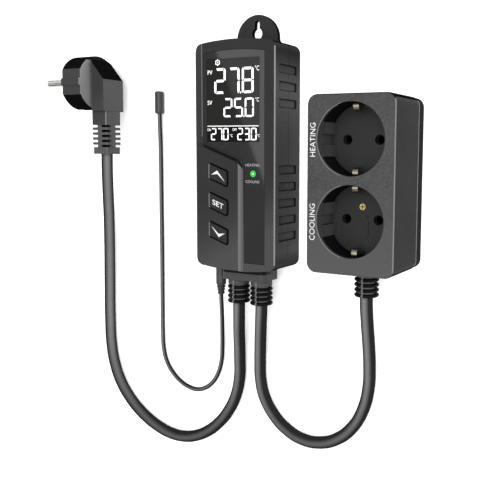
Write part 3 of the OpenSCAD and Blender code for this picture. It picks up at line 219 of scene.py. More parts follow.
def grip_wall_shade(finish):
    """Painted shade on the walls and the outlines of the side grips."""
    x, y, z = finish.xyz()
    walls = finish.within(abs(x), 27.62, 28.46) * finish.within(z, 4.1, 24.9) * finish.within(y, -62, 62)
    near = reduce(finish.least, [abs(y - centre * MM) for centre in GRIP_PLACES])
    edge = finish.most(near - 2.25 * MM, abs(z - CASE_MIDDLE_Z * MM) - 9.8 * MM)
    return finish.most(walls, finish.within(edge, -0.1, 0.42))


def side_end(finish):
    """The ends of the case's sides, which fall into shade."""
    y = finish.xyz()[1]
    return finish.most(finish.level(y, 40 * MM, 60 * MM), finish.level(y, -56 * MM, -65 * MM))


def corner_shade(finish):
    """The rounded corners of the case, which turn away from the light."""
    x, y, z = finish.xyz()
    return side_end(finish) * finish.within(z, None, 26.9) * finish.within(abs(x), 20)


def low_sheen(finish):
    """The front's lower right, which catches more of the light."""
    x, y, z = finish.xyz()
    front = finish.most(finish.within(z, 27.4), finish.within(y, None, -68.55))
    share = finish.level(x * 0.5 - y, 15 * MM, 56 * MM) * front
    return share * share


def step_wall_shade(finish):
    """Painted shade on the slanted wall between the keypad and the window, and on the corner under it."""
    x, y, z = finish.xyz()
    wall = finish.within(x, -22.4, 1.6) * finish.within(y, -7.0, 24.0)
    corner = finish.within(x, 1.5, 6.5) * finish.within(x * 0.77 + y, -2.4) * finish.within(y, None, 8.0)
    return (wall + corner) * finish.within(z, 27.56, 28.96)


def box_low_light(finish):
    """Painted light on the lower part of the socket box's front."""
    return finish.level(finish.xyz()[1], -15 * MM, -62 * MM)


def moulded(name, colour, roughness, grain, height, mottle=0.12, regions=(), gloss=0.12):
    """Moulded plastic, its grain and the height of it in mm; a region is a rule and a share of the colour."""
    finish = Finish(name, roughness, Specular_IOR_Level=gloss)
    spark = finish.noise(1 / (grain * MM), 3.0, rough=0.6)
    slow = finish.noise(45.0, 2.0)
    mark = finish.noise(900.0, 2.0)
    shade = finish.level(slow * 0.4 + mark * 0.6, 0.32, 0.68)
    tone = finish.mix(shade, scaled(colour, 1 - mottle), scaled(colour, 1 + mottle))
    for rule, share in regions:
        tone = finish.mix(rule(finish), tone, scaled(colour, share))
    finish.tint(tone)
    finish.rough(spark * 0.5 + slow * 0.5, roughness - 0.06, roughness + 0.08)
    finish.bump(spark, height * MM)
    return finish.material


def ribbed(name, colour, spots):
    """Ribs painted near black as shade over a core, collar and web painted paler as light; a spot is a
    relief's axis and the end of its collar.
    """
    finish = Finish(name, 0.5, Specular_IOR_Level=0.05)
    x, y, z = finish.xyz()
    squares, painted_lights = [], []
    for across, lift, end in spots:
        dx, dz = x - across * MM, z - lift * MM
        squares.append(dx * dx + dz * dz)
        # Painted light on the collar and a painted highlight along the top of the web
        collar = finish.within(y, end) * finish.within(abs(dx), None, 8)
        painted_lights.append(finish.most(collar * 0.45, finish.within(abs(dx), None, 0.55) * (dz > 0)))
    pale = reduce(finish.most, painted_lights)
    outer = finish.level(reduce(finish.least, squares), (4.98 * MM) ** 2, (5.25 * MM) ** 2)
    wave = finish.noise(300.0, 3.0)
    # Painted light on the core seen between the ribs, and painted shade on the ribs
    core = finish.mix(wave, scaled(colour, 4.6), scaled(colour, 5.6))
    ribs = finish.mix(wave, scaled(colour, 0.1), scaled(colour, 0.2))
    finish.tint(finish.mix(pale, finish.mix(outer, core, ribs), scaled(colour, 6.5)))
    finish.rough(wave, 0.44, 0.58)
    finish.bump(finish.noise(3000.0, 2.0), 0.02 * MM)
    return finish.material


def soft(name, colour, roughness=0.42):
    """Soft plastic of leads and reliefs, satin, with fine drag marks."""
    finish = Finish(name, roughness, Specular_IOR_Level=0.35)
    wave = finish.noise(260.0, 4.0)
    fine = finish.noise(3000.0, 2.0)
    finish.tint(finish.mix(wave, scaled(colour, 0.85), scaled(colour, 1.2)))
    finish.rough(wave, roughness - 0.07, roughness + 0.09)
    finish.bump(fine * 0.6 + wave * 0.4, 0.03 * MM)
    return finish.material


# Where the upper side of a cord lies on the map that runs once round it
CORD_CROWN = 0.2


def sheath(name, colour):
    """Cord sheath with a painted highlight along its top, painted shade down its sides and towards its lowest
    loops, and fine drag marks.
    """
    finish = Finish(name, 0.5, Specular_IOR_Level=0.0)
    x, y, z = finish.xyz()
    mapped = finish.add("ShaderNodeUVMap", {}, uv_map="UVMap")
    around = finish.add("ShaderNodeSeparateXYZ", {0: mapped}, 1)
    # The mains cord's left strand shows its right side, so its painted highlight leans over there and is
    # wider
    lean = finish.level(x, -60 * MM, -105 * MM)
    off = abs(around - CORD_CROWN - lean * 0.12)
    width = lean * 0.035 + 0.115
    highlight_band = finish.level(finish.least(off, 1 - off), 0.02, width, 1.0, 0.0)
    # Painted shade: the highlight dims towards the lowest loops of the cords
    bend_shade = finish.level(y, -120 * MM, -180 * MM, 1.0, 0.42)
    wave = finish.noise(260.0, 4.0)
    highlight_tone = finish.mix(wave, scaled(colour, 5.6), scaled(colour, 6.8))
    finish.tint(finish.mix(highlight_band * bend_shade, scaled(colour, 0.6), highlight_tone))
    finish.rough(wave, 0.42, 0.56)
    finish.bump(finish.noise(3000.0, 2.0) * 0.6 + wave * 0.4, 0.03 * MM)
    return finish.material


def metal(name, colour, roughness):
    """Plated or plain metal with wipe marks."""
    finish = Finish(name, roughness, Metallic=1.0)
    turned = finish.add("ShaderNodeMapping", {"Vector": finish.place, "Scale": (1.0, 9.0, 1.0)})
    marks = finish.noise(420.0, 5.0, place=turned, rough=0.65)
    tarnish = finish.noise(160.0, 2.0)
    finish.tint(finish.mix(tarnish, scaled(colour, 0.86), scaled(colour, 1.06)))
    finish.rough(marks, roughness - 0.05, roughness + 0.12, 0.75)
    finish.bump(marks, 0.008 * MM)
    return finish.material


def screw_brass():
    """Brass head with its cross slot painted dark as shade."""
    finish = Finish("brass", 0.3, Metallic=1.0)
    x, y, z = finish.xyz()
    centre = (low("socket_screw") + high("socket_screw")) / 2
    dx, dy = abs(x - centre.x), abs(y - centre.y)
    arm, reach = 0.3 * MM, 1.3 * MM
    # Painted shade where the head's cross slot lies
    cross = finish.level((dx < arm) * (dy < reach) + (dy < arm) * (dx < reach), 0.0, 1.0)
    wear = finish.noise(700.0, 3.0)
    face = finish.mix(wear, (0.3, 0.24, 0.09), (0.56, 0.46, 0.2))
    finish.tint(finish.mix(cross, face, (0.05, 0.04, 0.02)))
    finish.rough(wear, 0.22, 0.42)
    finish.bump(wear, 0.01 * MM)
    return finish.material


def board_mask():
    """Green solder mask over copper tracks."""
    finish = Finish("circuit_board", 0.35, Specular_IOR_Level=0.5)
    sockets = {"Vector": finish.place, "Scale": 260.0, "Mortar Size": 0.05, "Color1": (0.03, 0.2, 0.08),
               "Color2": (0.04, 0.26, 0.11), "Mortar": (0.09, 0.36, 0.14)}
    finish.tint(finish.add("ShaderNodeTexBrick", sockets, offset=0.37, squash=1.0))
    finish.rough(finish.noise(500.0), 0.28, 0.45)
    finish.bump(finish.noise(1400.0), 0.02 * MM)
    return finish.material


def ink(name, colour, glow=0.0):
    """Printed or lit lettering, a little uneven; on printed lettering a glow is painted light."""
    finish = Finish(name)
    patch = finish.noise(1500.0, 2.0)
    finish.tint(finish.mix(patch, scaled(colour, 0.92), scaled(colour, 1.0)))
    finish.rough(patch, 0.4, 0.5)
    if glow:
        finish.put("Emission Color", finish.mix(patch, scaled(colour, 0.95), colour))
        finish.put("Emission Strength", glow)
    return finish.material


def window_face():
    """Tinted window: bare dark margin, smoky display field with painted shade along its edges, and a black
    foot row.
    """
    finish = Finish("tinted_window", 0.04, Specular_IOR_Level=0.22, Coat_Roughness=0.04)
    x, y, z = finish.xyz()
    x0, x1, y0, y1 = -19.5 * MM, 18.2 * MM, 8.4 * MM, 57.7 * MM
    soft_edge = 0.5 * MM

    def span(value, start, end):
        return finish.level(value, start, start + soft_edge) * finish.level(value, end, end - soft_edge)

    field = span(x, x0, x1) * span(y, y0, y1)
    # Painted shade: the display field darkens towards its sides and top
    border_shade_x = finish.level(abs(x - (x0 + x1) / 2), 17.2 * MM, 18.8 * MM, 1.0, 0.55)
    border_shade_y = finish.level(y, 55.4 * MM, 57.6 * MM, 1.0, 0.55)
    foot = finish.level(y, 18.0 * MM, 18.3 * MM)
    tone = finish.noise(70.0, 2.0)
    margin = finish.mix(tone, (0.0105, 0.0105, 0.011), (0.0135, 0.0135, 0.014))
    lit = finish.mix(border_shade_x * border_shade_y, (0.004, 0.004, 0.004), (0.012, 0.012, 0.0115))
    panel = finish.mix(foot, (0.004, 0.004, 0.0045), lit)
    finish.tint(finish.mix(field, margin, panel))
    finish.put("Coat Weight", finish.level(field, 0.0, 1.0, 0.75, 0.0))
    finish.rough(tone, 0.03, 0.05)
    finish.bump(finish.noise(120.0, 1.0), 0.004 * MM)
    return finish.material


def lamp_glow():
    """Green lamp with a bright heart."""
    finish = Finish("lamp_green", 0.2, Specular_IOR_Level=0.5)
    x, y, z = finish.xyz()
    centre = (low("lamp_lens") + high("lamp_lens")) / 2
    dx, dy = x - centre.x, y - centre.y
    reach = (dx * dx + dy * dy) / (1.9 * MM) ** 2
    finish.tint(finish.mix(finish.level(reach, 0.0, 0.14), (0.6, 0.95, 0.6), (0.015, 0.3, 0.03)))
    heart = finish.level(reach, 0.0, 0.1)
    finish.put("Emission Color", finish.mix(heart, (0.6, 1.0, 0.6), (0.01, 0.42, 0.03)))
    finish.put("Emission Strength", 0.45)
    finish.rough(finish.noise(900.0), 0.15, 0.25)
    return finish.material


def clear_ground(name, colour):
    """The surface that the set lies on."""
    finish = Finish(name, 0.9, Specular_IOR_Level=0.1)
    tone = finish.noise(3.0, 2.0)
    pale = finish.mix(tone, scaled(colour, 0.985), scaled(colour, 1))
    finish.tint(pale)
    finish.put("Emission Color", pale)
    finish.put("Emission Strength", 0.4)
    finish.bump(finish.noise(900.0, 2.0), 0.01 * MM)
    return finish.material


# Finishes that each node of the model takes
MATERIALS = {}
DRESS = {
    "charcoal": "front_shell rear_shell cord_outlet",
    "box_grey": "box_front box_cover",
    "key_plastic": "up_button set_button down_button",
    "black_plastic": "button_switches sounder control_chip board_link clamp_bar probe_socket"
                     " heating_insert cooling_insert",
    "white_plastic": "lcd_frame back_light lamp_body",
    "blue_plastic": "heating_relay cooling_relay capacitor surge_disc",
    "green_plastic": "terminal_block",
    "board": "display_board power_board",
    "tape": "transformer",
    "window": "display_window lcd_glass",
    "lamp": "lamp_lens",
    "steel": "display_screws board_screws case_screws clamp_screw box_screws",
    "nickel": "jack_pin fuse",
    "pin": "plug_pins",
    "brass": "socket_screw",
    "contact": "plug_earth_contacts heating_earth_strap cooling_earth_strap",
    "dark_contact": "heating_live_contact cooling_live_contact neutral_contacts",
    "ribs": "mains_relief output_relief box_relief",
    "relief": "jack_plug probe_tip plug_body plug_relief sensor_leads",
    "cord": "mains_cord output_cord probe_cord",
    "brown_lead": "live_leads box_leads",
    "blue_lead": "neutral_leads",
    "green_lead": "earth_leads",
}


def placed(name, data):
    """A new object of the scene."""
    piece = bpy.data.objects.new(name, data)
    bpy.context.scene.collection.objects.link(piece)
    return piece


def pick(piece):
    """Leaves only this piece selected and active."""
    bpy.ops.object.select_all(action="DESELECT")
    piece.select_set(True)
    bpy.context.view_layer.objects.active = piece


def choose(piece, kind, rule):
    """Selects the edges or the faces of the piece in hand that a rule picks; says whether there are any."""
    mesh = bmesh.from_edit_mesh(piece.data)
    mesh.select_mode = {"EDGE" if kind == "edges" else "FACE"}
    for part in (mesh.verts, mesh.edges, mesh.faces):
        for item in part:
            item.select = False
    chosen = [item for item in getattr(mesh, kind) if rule(item)]
    for item in chosen:
        item.select = True
    mesh.select_flush_mode()
    bmesh.update_edit_mesh(piece.data)
    return bool(chosen)


def sharp_edge(rule):
    """A rule for sharp edges, from one for their middle in mm and their two face normals."""
    def picks(edge):
        if len(edge.link_faces) != 2 or edge.calc_face_angle(0.0) < SHARP:
            return False
        middle = (edge.verts[0].co + edge.verts[1].co) / (2 * MM)
        return rule(middle, edge.link_faces[0].normal, edge.link_faces[1].normal)
    return picks


def softened(node, passes, smooth=32.0):
    """A copy of a node's mesh with rounded edges; a pass is a width in mm, a number of steps and a rule."""
    piece = placed(node + "_skin", NODES[node].data.copy())
    pick(piece)
    bpy.ops.object.mode_set(mode="EDIT")
    bpy.ops.mesh.select_all(action="SELECT")
    bpy.ops.mesh.remove_doubles(threshold=0.002 * MM)
    bpy.ops.mesh.dissolve_limited(angle_limit=math.radians(0.4))
    for width, steps, rule in passes:
        if choose(piece, "edges", sharp_edge(rule)):
            bpy.ops.mesh.bevel(offset=width * MM, segments=steps, affect="EDGES", clamp_overlap=True,
                               loop_slide=True)
    bpy.ops.object.mode_set(mode="OBJECT")
    pick(piece)
    bpy.ops.object.shade_smooth_by_angle(angle=math.radians(smooth))
    modifier = piece.modifiers.new("even", "WEIGHTED_NORMAL")
    modifier.keep_sharp = True
    modifier.weight = 80
    bpy.ops.object.modifier_apply(modifier=modifier.name)
    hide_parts(node)
    return piece


def present(piece, finish, parts=(), body="controller"):
    """Gives a piece its finish and body.

    A part is a further finish and a rule for the middle of a face in mm and its normal.
    """
    piece.data.materials.clear()
    piece.data.materials.append(MATERIALS[finish])
    for number, (further, rule) in enumerate(parts, 1):
        piece.data.materials.append(MATERIALS[further])
        for face in piece.data.polygons:
            if rule(face.center / MM, face.normal):
                face.material_index = number
    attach(piece, body)


def flat_piece(name, outlines, z, thickness):
    """Closed outlines in mm, filled and given a thickness, resting on a height."""
    curve = bpy.data.curves.new(name, "CURVE")
    curve.dimensions = "2D"
    curve.fill_mode = "BOTH"
    curve.extrude = thickness * MM / 2
    for points in outlines:
        spline = curve.splines.new("POLY")
        spline.points.add(len(points) - 1)
        for point, (x, y) in zip(spline.points, points):
            point.co = (x * MM, y * MM, 0, 1)
        spline.use_cyclic_u = True
    piece = placed(name, curve)
    piece.location = (0, 0, (z + thickness / 2) * MM)
    return settle(piece)


def settle(piece):
    """Turns a curve or text into a mesh that sits at the origin."""
    pick(piece)
    if piece.type != "MESH":
        bpy.ops.object.convert(target="MESH")
        piece = bpy.context.view_layer.objects.active
    bpy.ops.object.transform_apply(location=True, rotation=True, scale=True)
    return piece


def lettering(name, words, place, height, width, thickness, turn=0.0, slope=0.0, bold=0.0):
    """Plain capitals centred on a place in mm, drawn to a height and a width."""
    bpy.ops.object.text_add()
    piece = bpy.context.view_layer.objects.active
    piece.name = name
    text = piece.data
    text.body = words
    text.align_x = "CENTER"
    text.align_y = "CENTER"
    text.offset = bold
    text.resolution_u = 3
    piece = settle(piece)
    xs, ys = zip(*(vertex.co.xy for vertex in piece.data.vertices))
    centre = Vector(((min(xs) + max(xs)) / 2, (min(ys) + max(ys)) / 2, 0))
    size = Matrix.Diagonal((width * MM / (max(xs) - min(xs)), height * MM / (max(ys) - min(ys)), 1, 1))
    lean = Matrix.Identity(4)
    lean[1][0] = -math.tan(math.radians(slope))
    spin = Matrix.Rotation(math.radians(turn), 4, "Z")
    moved = Matrix.Translation(Vector(place) * MM)
    piece.data.transform(moved @ spin @ lean @ size @ Matrix.Translation(-centre))
    modifier = piece.modifiers.new("body", "SOLIDIFY")
    modifier.thickness = thickness * MM
    modifier.offset = 1.0
    bpy.ops.object.modifier_apply(modifier=modifier.name)
    return piece


# Lit bars of each digit
SEGMENTS = {"0": "abcdef", "2": "abged", "3": "abgcd", "5": "afgcd", "7": "abc", "8": "abcdefg"}


def digit_outlines(sign, left, foot, w, h, t):
    """The lit bars of one digit of a width, height and thickness, with narrow gaps between them."""
    gap, half = 0.19 * t, h / 2
    top = [(0.85 * t + gap, h), (w - 0.85 * t - gap, h), (w - 1.25 * t - gap, h - t), (1.25 * t + gap, h - t)]
    side = [(w, h - 0.85 * t), (w, half + 1.2 * gap), (w - 0.5 * t, half + gap),
            (w - t, half + 0.5 * t + gap), (w - t, h - 1.2 * t), (w - 0.75 * t, h - 0.15 * t),
            (w - 0.4 * t, h - 0.3 * t)]
    bars = {
        "a": top,
        "b": side,
        "c": [(x, h - y) for x, y in side],
        "d": [(x, h - y) for x, y in top],
        "e": [(w - x, h - y) for x, y in side],
        "f": [(w - x, y) for x, y in side],
        "g": [(0.6 * t + gap, half), (1.1 * t + gap, half + t / 2), (w - 1.1 * t - gap, half + t / 2),
              (w - 0.6 * t - gap, half), (w - 1.1 * t - gap, half - t / 2), (1.1 * t + gap, half - t / 2)],
    }
    return [[(left + x, foot + y) for x, y in bars[key]] for key in SEGMENTS[sign]]


def rectangle(x0, x1, y0, y1):
    return [(x0, y0), (x1, y0), (x1, y1), (x0, y1)]


def number_outlines(signs, left, foot, width, height, bar, pitch):
    """The lit bars of a number, whose digits follow one another at a pitch."""
    outlines = []
    x = left
    for sign in signs:
        if sign == ".":
            dot = x - pitch + width + 0.2 * bar
            outlines.append(rectangle(dot, dot + 0.6 * bar, foot, foot + 0.7 * bar))
        else:
            outlines += digit_outlines(sign, x, foot, width, height, bar)
            x += pitch
    return outlines


def circle(centre, r):
    turns = [math.tau * i / 32 for i in range(32)]
    return [(centre[0] + r * math.cos(turn), centre[1] + r * math.sin(turn)) for turn in turns]


def length(name, description, default, least, most):
    """A size that is given in mm."""
    return FloatProperty(name=name, description=description, default=default * MM, unit="LENGTH",
                         min=least * MM, max=most * MM)


def colour(name, description, default):
    return FloatVectorProperty(name=name, description=description, subtype="COLOR", default=default)


def angle(name, description, degrees):
    return FloatProperty(name=name, description=description, subtype="ANGLE", default=math.radians(degrees))


class LookSizes(bpy.types.PropertyGroup):
    """Sizes that a user may change."""
    rim: length("Case rim", "Rounding of the case's outer rim", 0.9, 0.1, 1.5)
    crease: length("Crease", "Rounding of small edges", 0.22, 0.05, 0.5)
    box_rim: length("Box rim", "Rounding of the socket box's front rim", 1.0, 0.2, 2)
    print_height: length("Print", "How far printed lettering stands out", 0.04, 0.01, 0.2)


class LookColours(bpy.types.PropertyGroup):
    """Colours that a user may change."""
    case: colour("Case", "Colour of the controller's case", (0.018, 0.018, 0.0183))
    box: colour("Socket box", "Colour of the socket box", (0.047, 0.047, 0.0475))
    cord: colour("Cords", "Colour of the cords", (0.025, 0.025, 0.0253))
    ground: colour("Ground", "Colour of the ground", (0.96, 0.96, 0.96))


class LookStage(bpy.types.PropertyGroup):
    """The camera that looks at the set, and the light round it."""
    lens: FloatProperty(name="Lens", description="Focal length of the camera in mm", default=51.406, min=10,
                        max=200)
    yaw: angle("Yaw", "Turn of the camera to the side", 26.806)
    pitch: angle("Pitch", "Tilt of the camera", 5.745)
    roll: angle("Roll", "Roll of the camera", 0.563)
    sheen_turn: angle("Sheen", "Turn of the card that the window mirrors", 23.5)
    glow: FloatProperty(name="Surroundings", description="Brightness of the surroundings", default=0.36,
                        min=0, max=4)


class OBJECT_OT_controller_finishes(bpy.types.Operator):
    """Make the finishes and give every node of the model its own"""
    bl_idname = "object.controller_finishes"
    bl_label = "Finishes"

    def execute(self, context):
        look = context.scene.look_colours
        for name, *values in (
            # A lit copy of the case colour for its sides, with painted shade at their ends and along the
            # grips
            ("case_side", scaled(look.case, 3.1), 0.6, 0.28, 0.035, 0.12,
             ((side_end, 0.08), (grip_wall_shade, 0.02)), 0.06),
            ("key_plastic", scaled(look.case, 0.95), 0.42, 0.25, 0.012, 0.06),
            # A shaded copy of the box colour for its sides, with a dark joint and a painted highlight along
            # the edge above it
            ("box_side", scaled(look.box, 0.2), 0.6, 0.42, 0.05, 0.16,
             ((box_joint, 0.02), (joint_edge_highlight, 16.0)), 0.06),
            # A lit copy of the plug colour for faces turned to the right and for the plug's relief
            ("plug_light", (0.06, 0.06, 0.0605), 0.45, 0.3, 0.02),
            # Painted highlight along edges that catch the light
            ("pale_edge", (0.16, 0.16, 0.161), 0.5, 0.3, 0.01),
            # Painted shade: near black for faces turned away from the light and for gaps and slots
            ("dull_end", (0.004, 0.004, 0.004), 0.7, 0.3, 0.02, 0.2, (), 0.0),
            ("black_plastic", (0.02, 0.02, 0.0205), 0.45, 0.3, 0.015),
            ("white_plastic", (0.72, 0.72, 0.7), 0.45, 0.3, 0.01, 0.03),
            ("blue_plastic", (0.05, 0.14, 0.42), 0.3, 0.3, 0.01),
            ("green_plastic", (0.04, 0.26, 0.1), 0.35, 0.3, 0.01),
        ):
            MATERIALS[name] = moulded(name, *values)
        MATERIALS.update(
            # The case colour with painted light and shade: highlights on the slope, bevel and rims, light on
            # the lower right, shade on the grips, step, corners and outlet root
            charcoal=moulded("charcoal_plastic", look.case, 0.5, 0.28, 0.035, regions=(
                (low_sheen, 2.6), (grip_wall_shade, 0.12), (bevel_highlight_line, 7.0), (slope_highlight, 6.2),
                (slope_foot_highlight, 4.2), (step_wall_shade, 0.03), (rim_highlight, 11.0), (left_rim_highlight, 7.0),
                (corner_shade, 0.05), (outlet_root_shadow, 0.05))),
            # The box colour with painted light on its lower front and rim, and a dark joint
            box_grey=moulded("box_plastic", look.box, 0.5, 0.42, 0.13, 0.3,
                             ((box_low_light, 1.35), (box_joint, 0.02), (box_rim, 3.0))),
            # The plug colour with painted light on the barrel's flat back and painted shade at its end
            plug=moulded("plug_plastic", (0.034, 0.034, 0.0345), 0.45, 0.3, 0.02, 0.12,
                         ((plug_shoulder_light, 6.5), (shoulder_end_shade, 0.0)), 0.06),
            shade=moulded("recess_shade", (0.006, 0.006, 0.006), 0.6, 0.3, 0.015, 0.2, gloss=0.02),
            # A lit copy of the insert plastic for the guides' faces turned to the right
            guide=moulded("guide_plastic", (0.05, 0.05, 0.0505), 0.5, 0.3, 0.015),
            tape=moulded("winding_tape", (0.62, 0.46, 0.08), 0.35, 0.5, 0.02),
            board=board_mask(),
            window=window_face(),
            lamp=lamp_glow(),
            brass=screw_brass(),
            steel=metal("zinc_steel", (0.56, 0.56, 0.57), 0.32),
            nickel=metal("bright_nickel", (0.78, 0.77, 0.75), 0.16),
            pin=metal("worn_nickel", (0.42, 0.42, 0.41), 0.25),
            contact=metal("tinned_contact", (0.4, 0.365, 0.28), 0.26),
            # Near-black metal for the live and neutral contacts
            dark_contact=metal("aged_contact", (0.02, 0.018, 0.015), 0.6),
            cord=sheath("cord_sheath", look.cord),
            ribs=ribbed("relief_ribs", (0.02, 0.02, 0.0205), RELIEFS),
            relief=soft("soft_black", (0.03, 0.03, 0.031), 0.4),
            brown_lead=soft("brown_lead", (0.17, 0.07, 0.03)),
            blue_lead=soft("blue_lead", (0.04, 0.13, 0.45)),
            green_lead=soft("green_lead", (0.22, 0.42, 0.05)),
            # Printed lettering with a faint painted glow
            print=ink("light_print", (0.66, 0.66, 0.66), 0.1),
            faint_print=ink("faint_print", (0.36, 0.36, 0.36)),
            lit=ink("lit_segment", (0.8, 0.8, 0.8), 0.6),
        )
        for finish, nodes in DRESS.items():
            for node in nodes.split():
                for slot in NODES[node].material_slots:
                    slot.link = "OBJECT"
                    slot.material = MATERIALS[finish]
        return {"FINISHED"}


# The ground, the camera's place and the soft lights in m; a light is its name, place, aim, size and power
FLOOR_SIZE = 6.0
FLOOR_DROP = 0.2 * MM
CAMERA_PLACE = (0.238631, 0.003638, 0.383416)
CAMERA_SHIFT = (-0.1459, -0.0535)
CARDS = (
    ("front_card", (0.25, 0.1, 1.0), (0.0, -0.02, 0.0), (0.7, 0.9), 11.0),
    ("left_card", (-0.8, 0.1, 0.34), (0.0, 0.0, 0.0), (0.22, 0.8), 2.6),
    ("right_card", (0.8, 0.05, 0.42), (0.03, -0.02, 0.01), (0.2, 0.9), 3.6),
    ("sheen_card", (-0.483, 0.1, 1.0), (-0.483, 0.1, 0.0), (0.3, 1.2), 1.5),
)


class OBJECT_OT_controller_stage(bpy.types.Operator):
    """Set the camera, the lights and the pale ground"""
    bl_idname = "object.controller_stage"
    bl_label = "Stage"

    def execute(self, context):
        look = context.scene.look_stage
        data = bpy.data.cameras.new("camera")
        data.lens = look.lens
        data.sensor_width = 36.0
        data.shift_x, data.shift_y = CAMERA_SHIFT
        data.clip_start = 0.01
        camera = placed("camera", data)
        turned = [Matrix.Rotation(turn, 4, axis)
                  for turn, axis in ((look.yaw, "Y"), (-look.pitch, "X"), (look.roll, "Z"))]
        camera.matrix_world = Matrix.Translation(CAMERA_PLACE) @ turned[0] @ turned[1] @ turned[2]
        context.scene.camera = camera
        context.scene.view_settings.view_transform = "Standard"

        world = bpy.data.worlds.new("surroundings")
        world.use_nodes = True
        sky = world.node_tree.nodes["Background"]
        sky.inputs["Color"].default_value = (1, 1, 1, 1)
        sky.inputs["Strength"].default_value = look.glow
        context.scene.world = world

        for name, place, aim, size, power in CARDS:
            data = bpy.data.lights.new(name, "AREA")
            data.shape = "RECTANGLE"
            data.size, data.size_y = size
            data.energy = power
            lamp = placed(name, data)
            back = (Vector(place) - Vector(aim)).normalized()
            across = Vector((0, 1, 0)).cross(back).normalized()
            turned = Matrix((across, back.cross(across), back)).transposed().to_4x4()
            if name == "sheen_card":
                turned = Matrix.Rotation(look.sheen_turn, 4, "Z")
            lamp.matrix_world = Matrix.Translation(place) @ turned

        bpy.ops.mesh.primitive_grid_add(x_subdivisions=8, y_subdivisions=8, size=FLOOR_SIZE,
                                        location=(0, 0, -FLOOR_DROP))
        floor = settle(context.view_layer.objects.active)
        floor.name = "ground"
        floor.data.materials.append(clear_ground("pale_ground", context.scene.look_colours.ground))
        return {"FINISHED"}


# The routes of the three cords in mm, the same points as in the part's source
MAINS_ROUTE = [
    (-6, -52, 14.5), (-6, -70, 14.5), (-6, -92, 14.5), (-7, -102, 13), (-9, -111.5, 10), (-11, -121.5, 6.5),
    (-12.2, -131.5, 4.4), (-12.8, -142.5, 3.8), (-15.5, -155, 3.8), (-21.5, -167, 3.8), (-29.5, -176.8, 3.8),
    (-38.2, -184, 3.8), (-47.8, -189, 3.8), (-58, -191.6, 3.8), (-68.8, -191.6, 3.8), (-79.5, -189, 3.8),
    (-89.5, -184.6, 3.8), (-98.5, -178.8, 3.8), (-106.8, -171.2, 3.8), (-113.8, -162, 3.8),
    (-119, -150.5, 3.8), (-122, -137, 3.8), (-123, -114, 3.8), (-122.6, -89, 3.9), (-120.4, -64, 5.8),
    (-116.6, -42, 9.8), (-112.8, -21, 14.4), (-110.6, -8, 16.9), (-110, 2, 17.4), (-110, 12, 17.4),
    (-110, 23, 17.4)
]
OUTPUT_ROUTE = [
    (10.4, -52, 14.5), (10.4, -70, 14.5), (10.4, -92, 14.5), (9.2, -101, 13.1), (7, -110.5, 10),
    (4.6, -120.5, 6.5), (3.2, -130.5, 4.4), (3.2, -141, 3.8), (6, -152.5, 3.8), (12.6, -163, 3.8),
    (22, -171, 3.8), (33.6, -175.6, 3.8), (46.4, -175.4, 3.8), (58.2, -170.6, 3.8), (68.2, -161.4, 3.8),
    (75, -149, 3.8), (78.4, -135, 4.3), (79.8, -121, 6.8), (80.8, -108, 10.8), (81.6, -95, 15.2),
    (82, -83, 18), (82, -70, 18), (82, -56, 18)
]
PROBE_ROUTE = [
    (-19.5, -80, 14.5), (-19.5, -88, 14.5), (-19.8, -94, 13.7), (-21.6, -102.5, 10.6), (-24.4, -112.5, 6.4),
    (-26.8, -123.5, 3), (-28.4, -134, 1.6), (-31, -143, 1.5), (-35.4, -150.2, 1.5), (-41.4, -155.2, 1.5),
    (-48.4, -157.6, 1.5), (-55.6, -157, 1.5), (-62.4, -154.2, 1.5), (-68.8, -149.2, 1.5),
    (-74.2, -141.8, 1.5), (-76.8, -132.6, 1.5), (-77.4, -120, 1.5), (-77.4, -105, 1.5), (-77.3, -88, 1.5),
    (-77.2, -68, 1.5), (-77.2, -47, 1.5), (-77.2, -26, 1.5), (-77.2, -6, 1.5), (-77, 10, 2), (-76.7, 21, 2.8),
    (-76.6, 27.4, 3), (-76.6, 31.4, 3)
]


def cord_curve(name, route, diameter):
    """A smooth round cord through the points of its route."""
    curve = bpy.data.curves.new(name, "CURVE")
    curve.dimensions = "3D"
    curve.bevel_depth = diameter * MM / 2
    curve.bevel_resolution = 8
    curve.resolution_u = 10
    curve.use_fill_caps = True
    curve.twist_mode = "Z_UP"
    spline = curve.splines.new("BEZIER")
    spline.bezier_points.add(len(route) - 1)
    for point, place in zip(spline.bezier_points, route):
        point.co = Vector(place) * MM
        point.handle_left_type = point.handle_right_type = "AUTO"
    return placed(name, curve)


class OBJECT_OT_controller_cords(bpy.types.Operator):
    """Lay the mains cord, the output cord and the probe's cord"""
    bl_idname = "object.controller_cords"
    bl_label = "Cords"

    def execute(self, context):
        mains = cord_curve("mains_flex", MAINS_ROUTE, CORD_THICK)
        output = cord_curve("output_flex", OUTPUT_ROUTE, CORD_THICK)
        probe = cord_curve("probe_flex", PROBE_ROUTE, PROBE_CORD_THICK)
        context.view_layer.update()
        for piece, node, body in ((mains, "mains_cord", "controller"), (output, "output_cord", "controller"),
                                  (probe, "probe_cord", "probe")):
            present(piece, "cord", body=body)
            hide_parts(node)
        return {"FINISHED"}


# How far in mm an edge may lie from the level where it is looked for
NEAR = 0.05


def on_side(p):
    """Whether a point lies on one of the case's long sides."""
    return abs(p.x) > 28.4


def on_arch(p, inset=0.15):
    """Whether a point lies on the arched ends of the case."""
    return abs(p.y) > arch_y(p.x) - inset


def arch_y(x):
    """How far the case's ends reach at a place across it: a flat arch with rounded corners."""
    past = abs(x) - (CASE_WIDTH / 2 - CORNER_RADIUS)
    if past < 0:
        return CASE_CREST - ARCH_RADIUS + math.sqrt(ARCH_RADIUS ** 2 - x * x)
    return CORNER_CENTRE_Y + math.sqrt(max(0.0, CORNER_RADIUS ** 2 - past ** 2))


def off_axis(p, axis):
    """Distance of a point from an axis along Y that is given by its x and z."""
    return math.hypot(p.x - axis[0], p.z - axis[1])


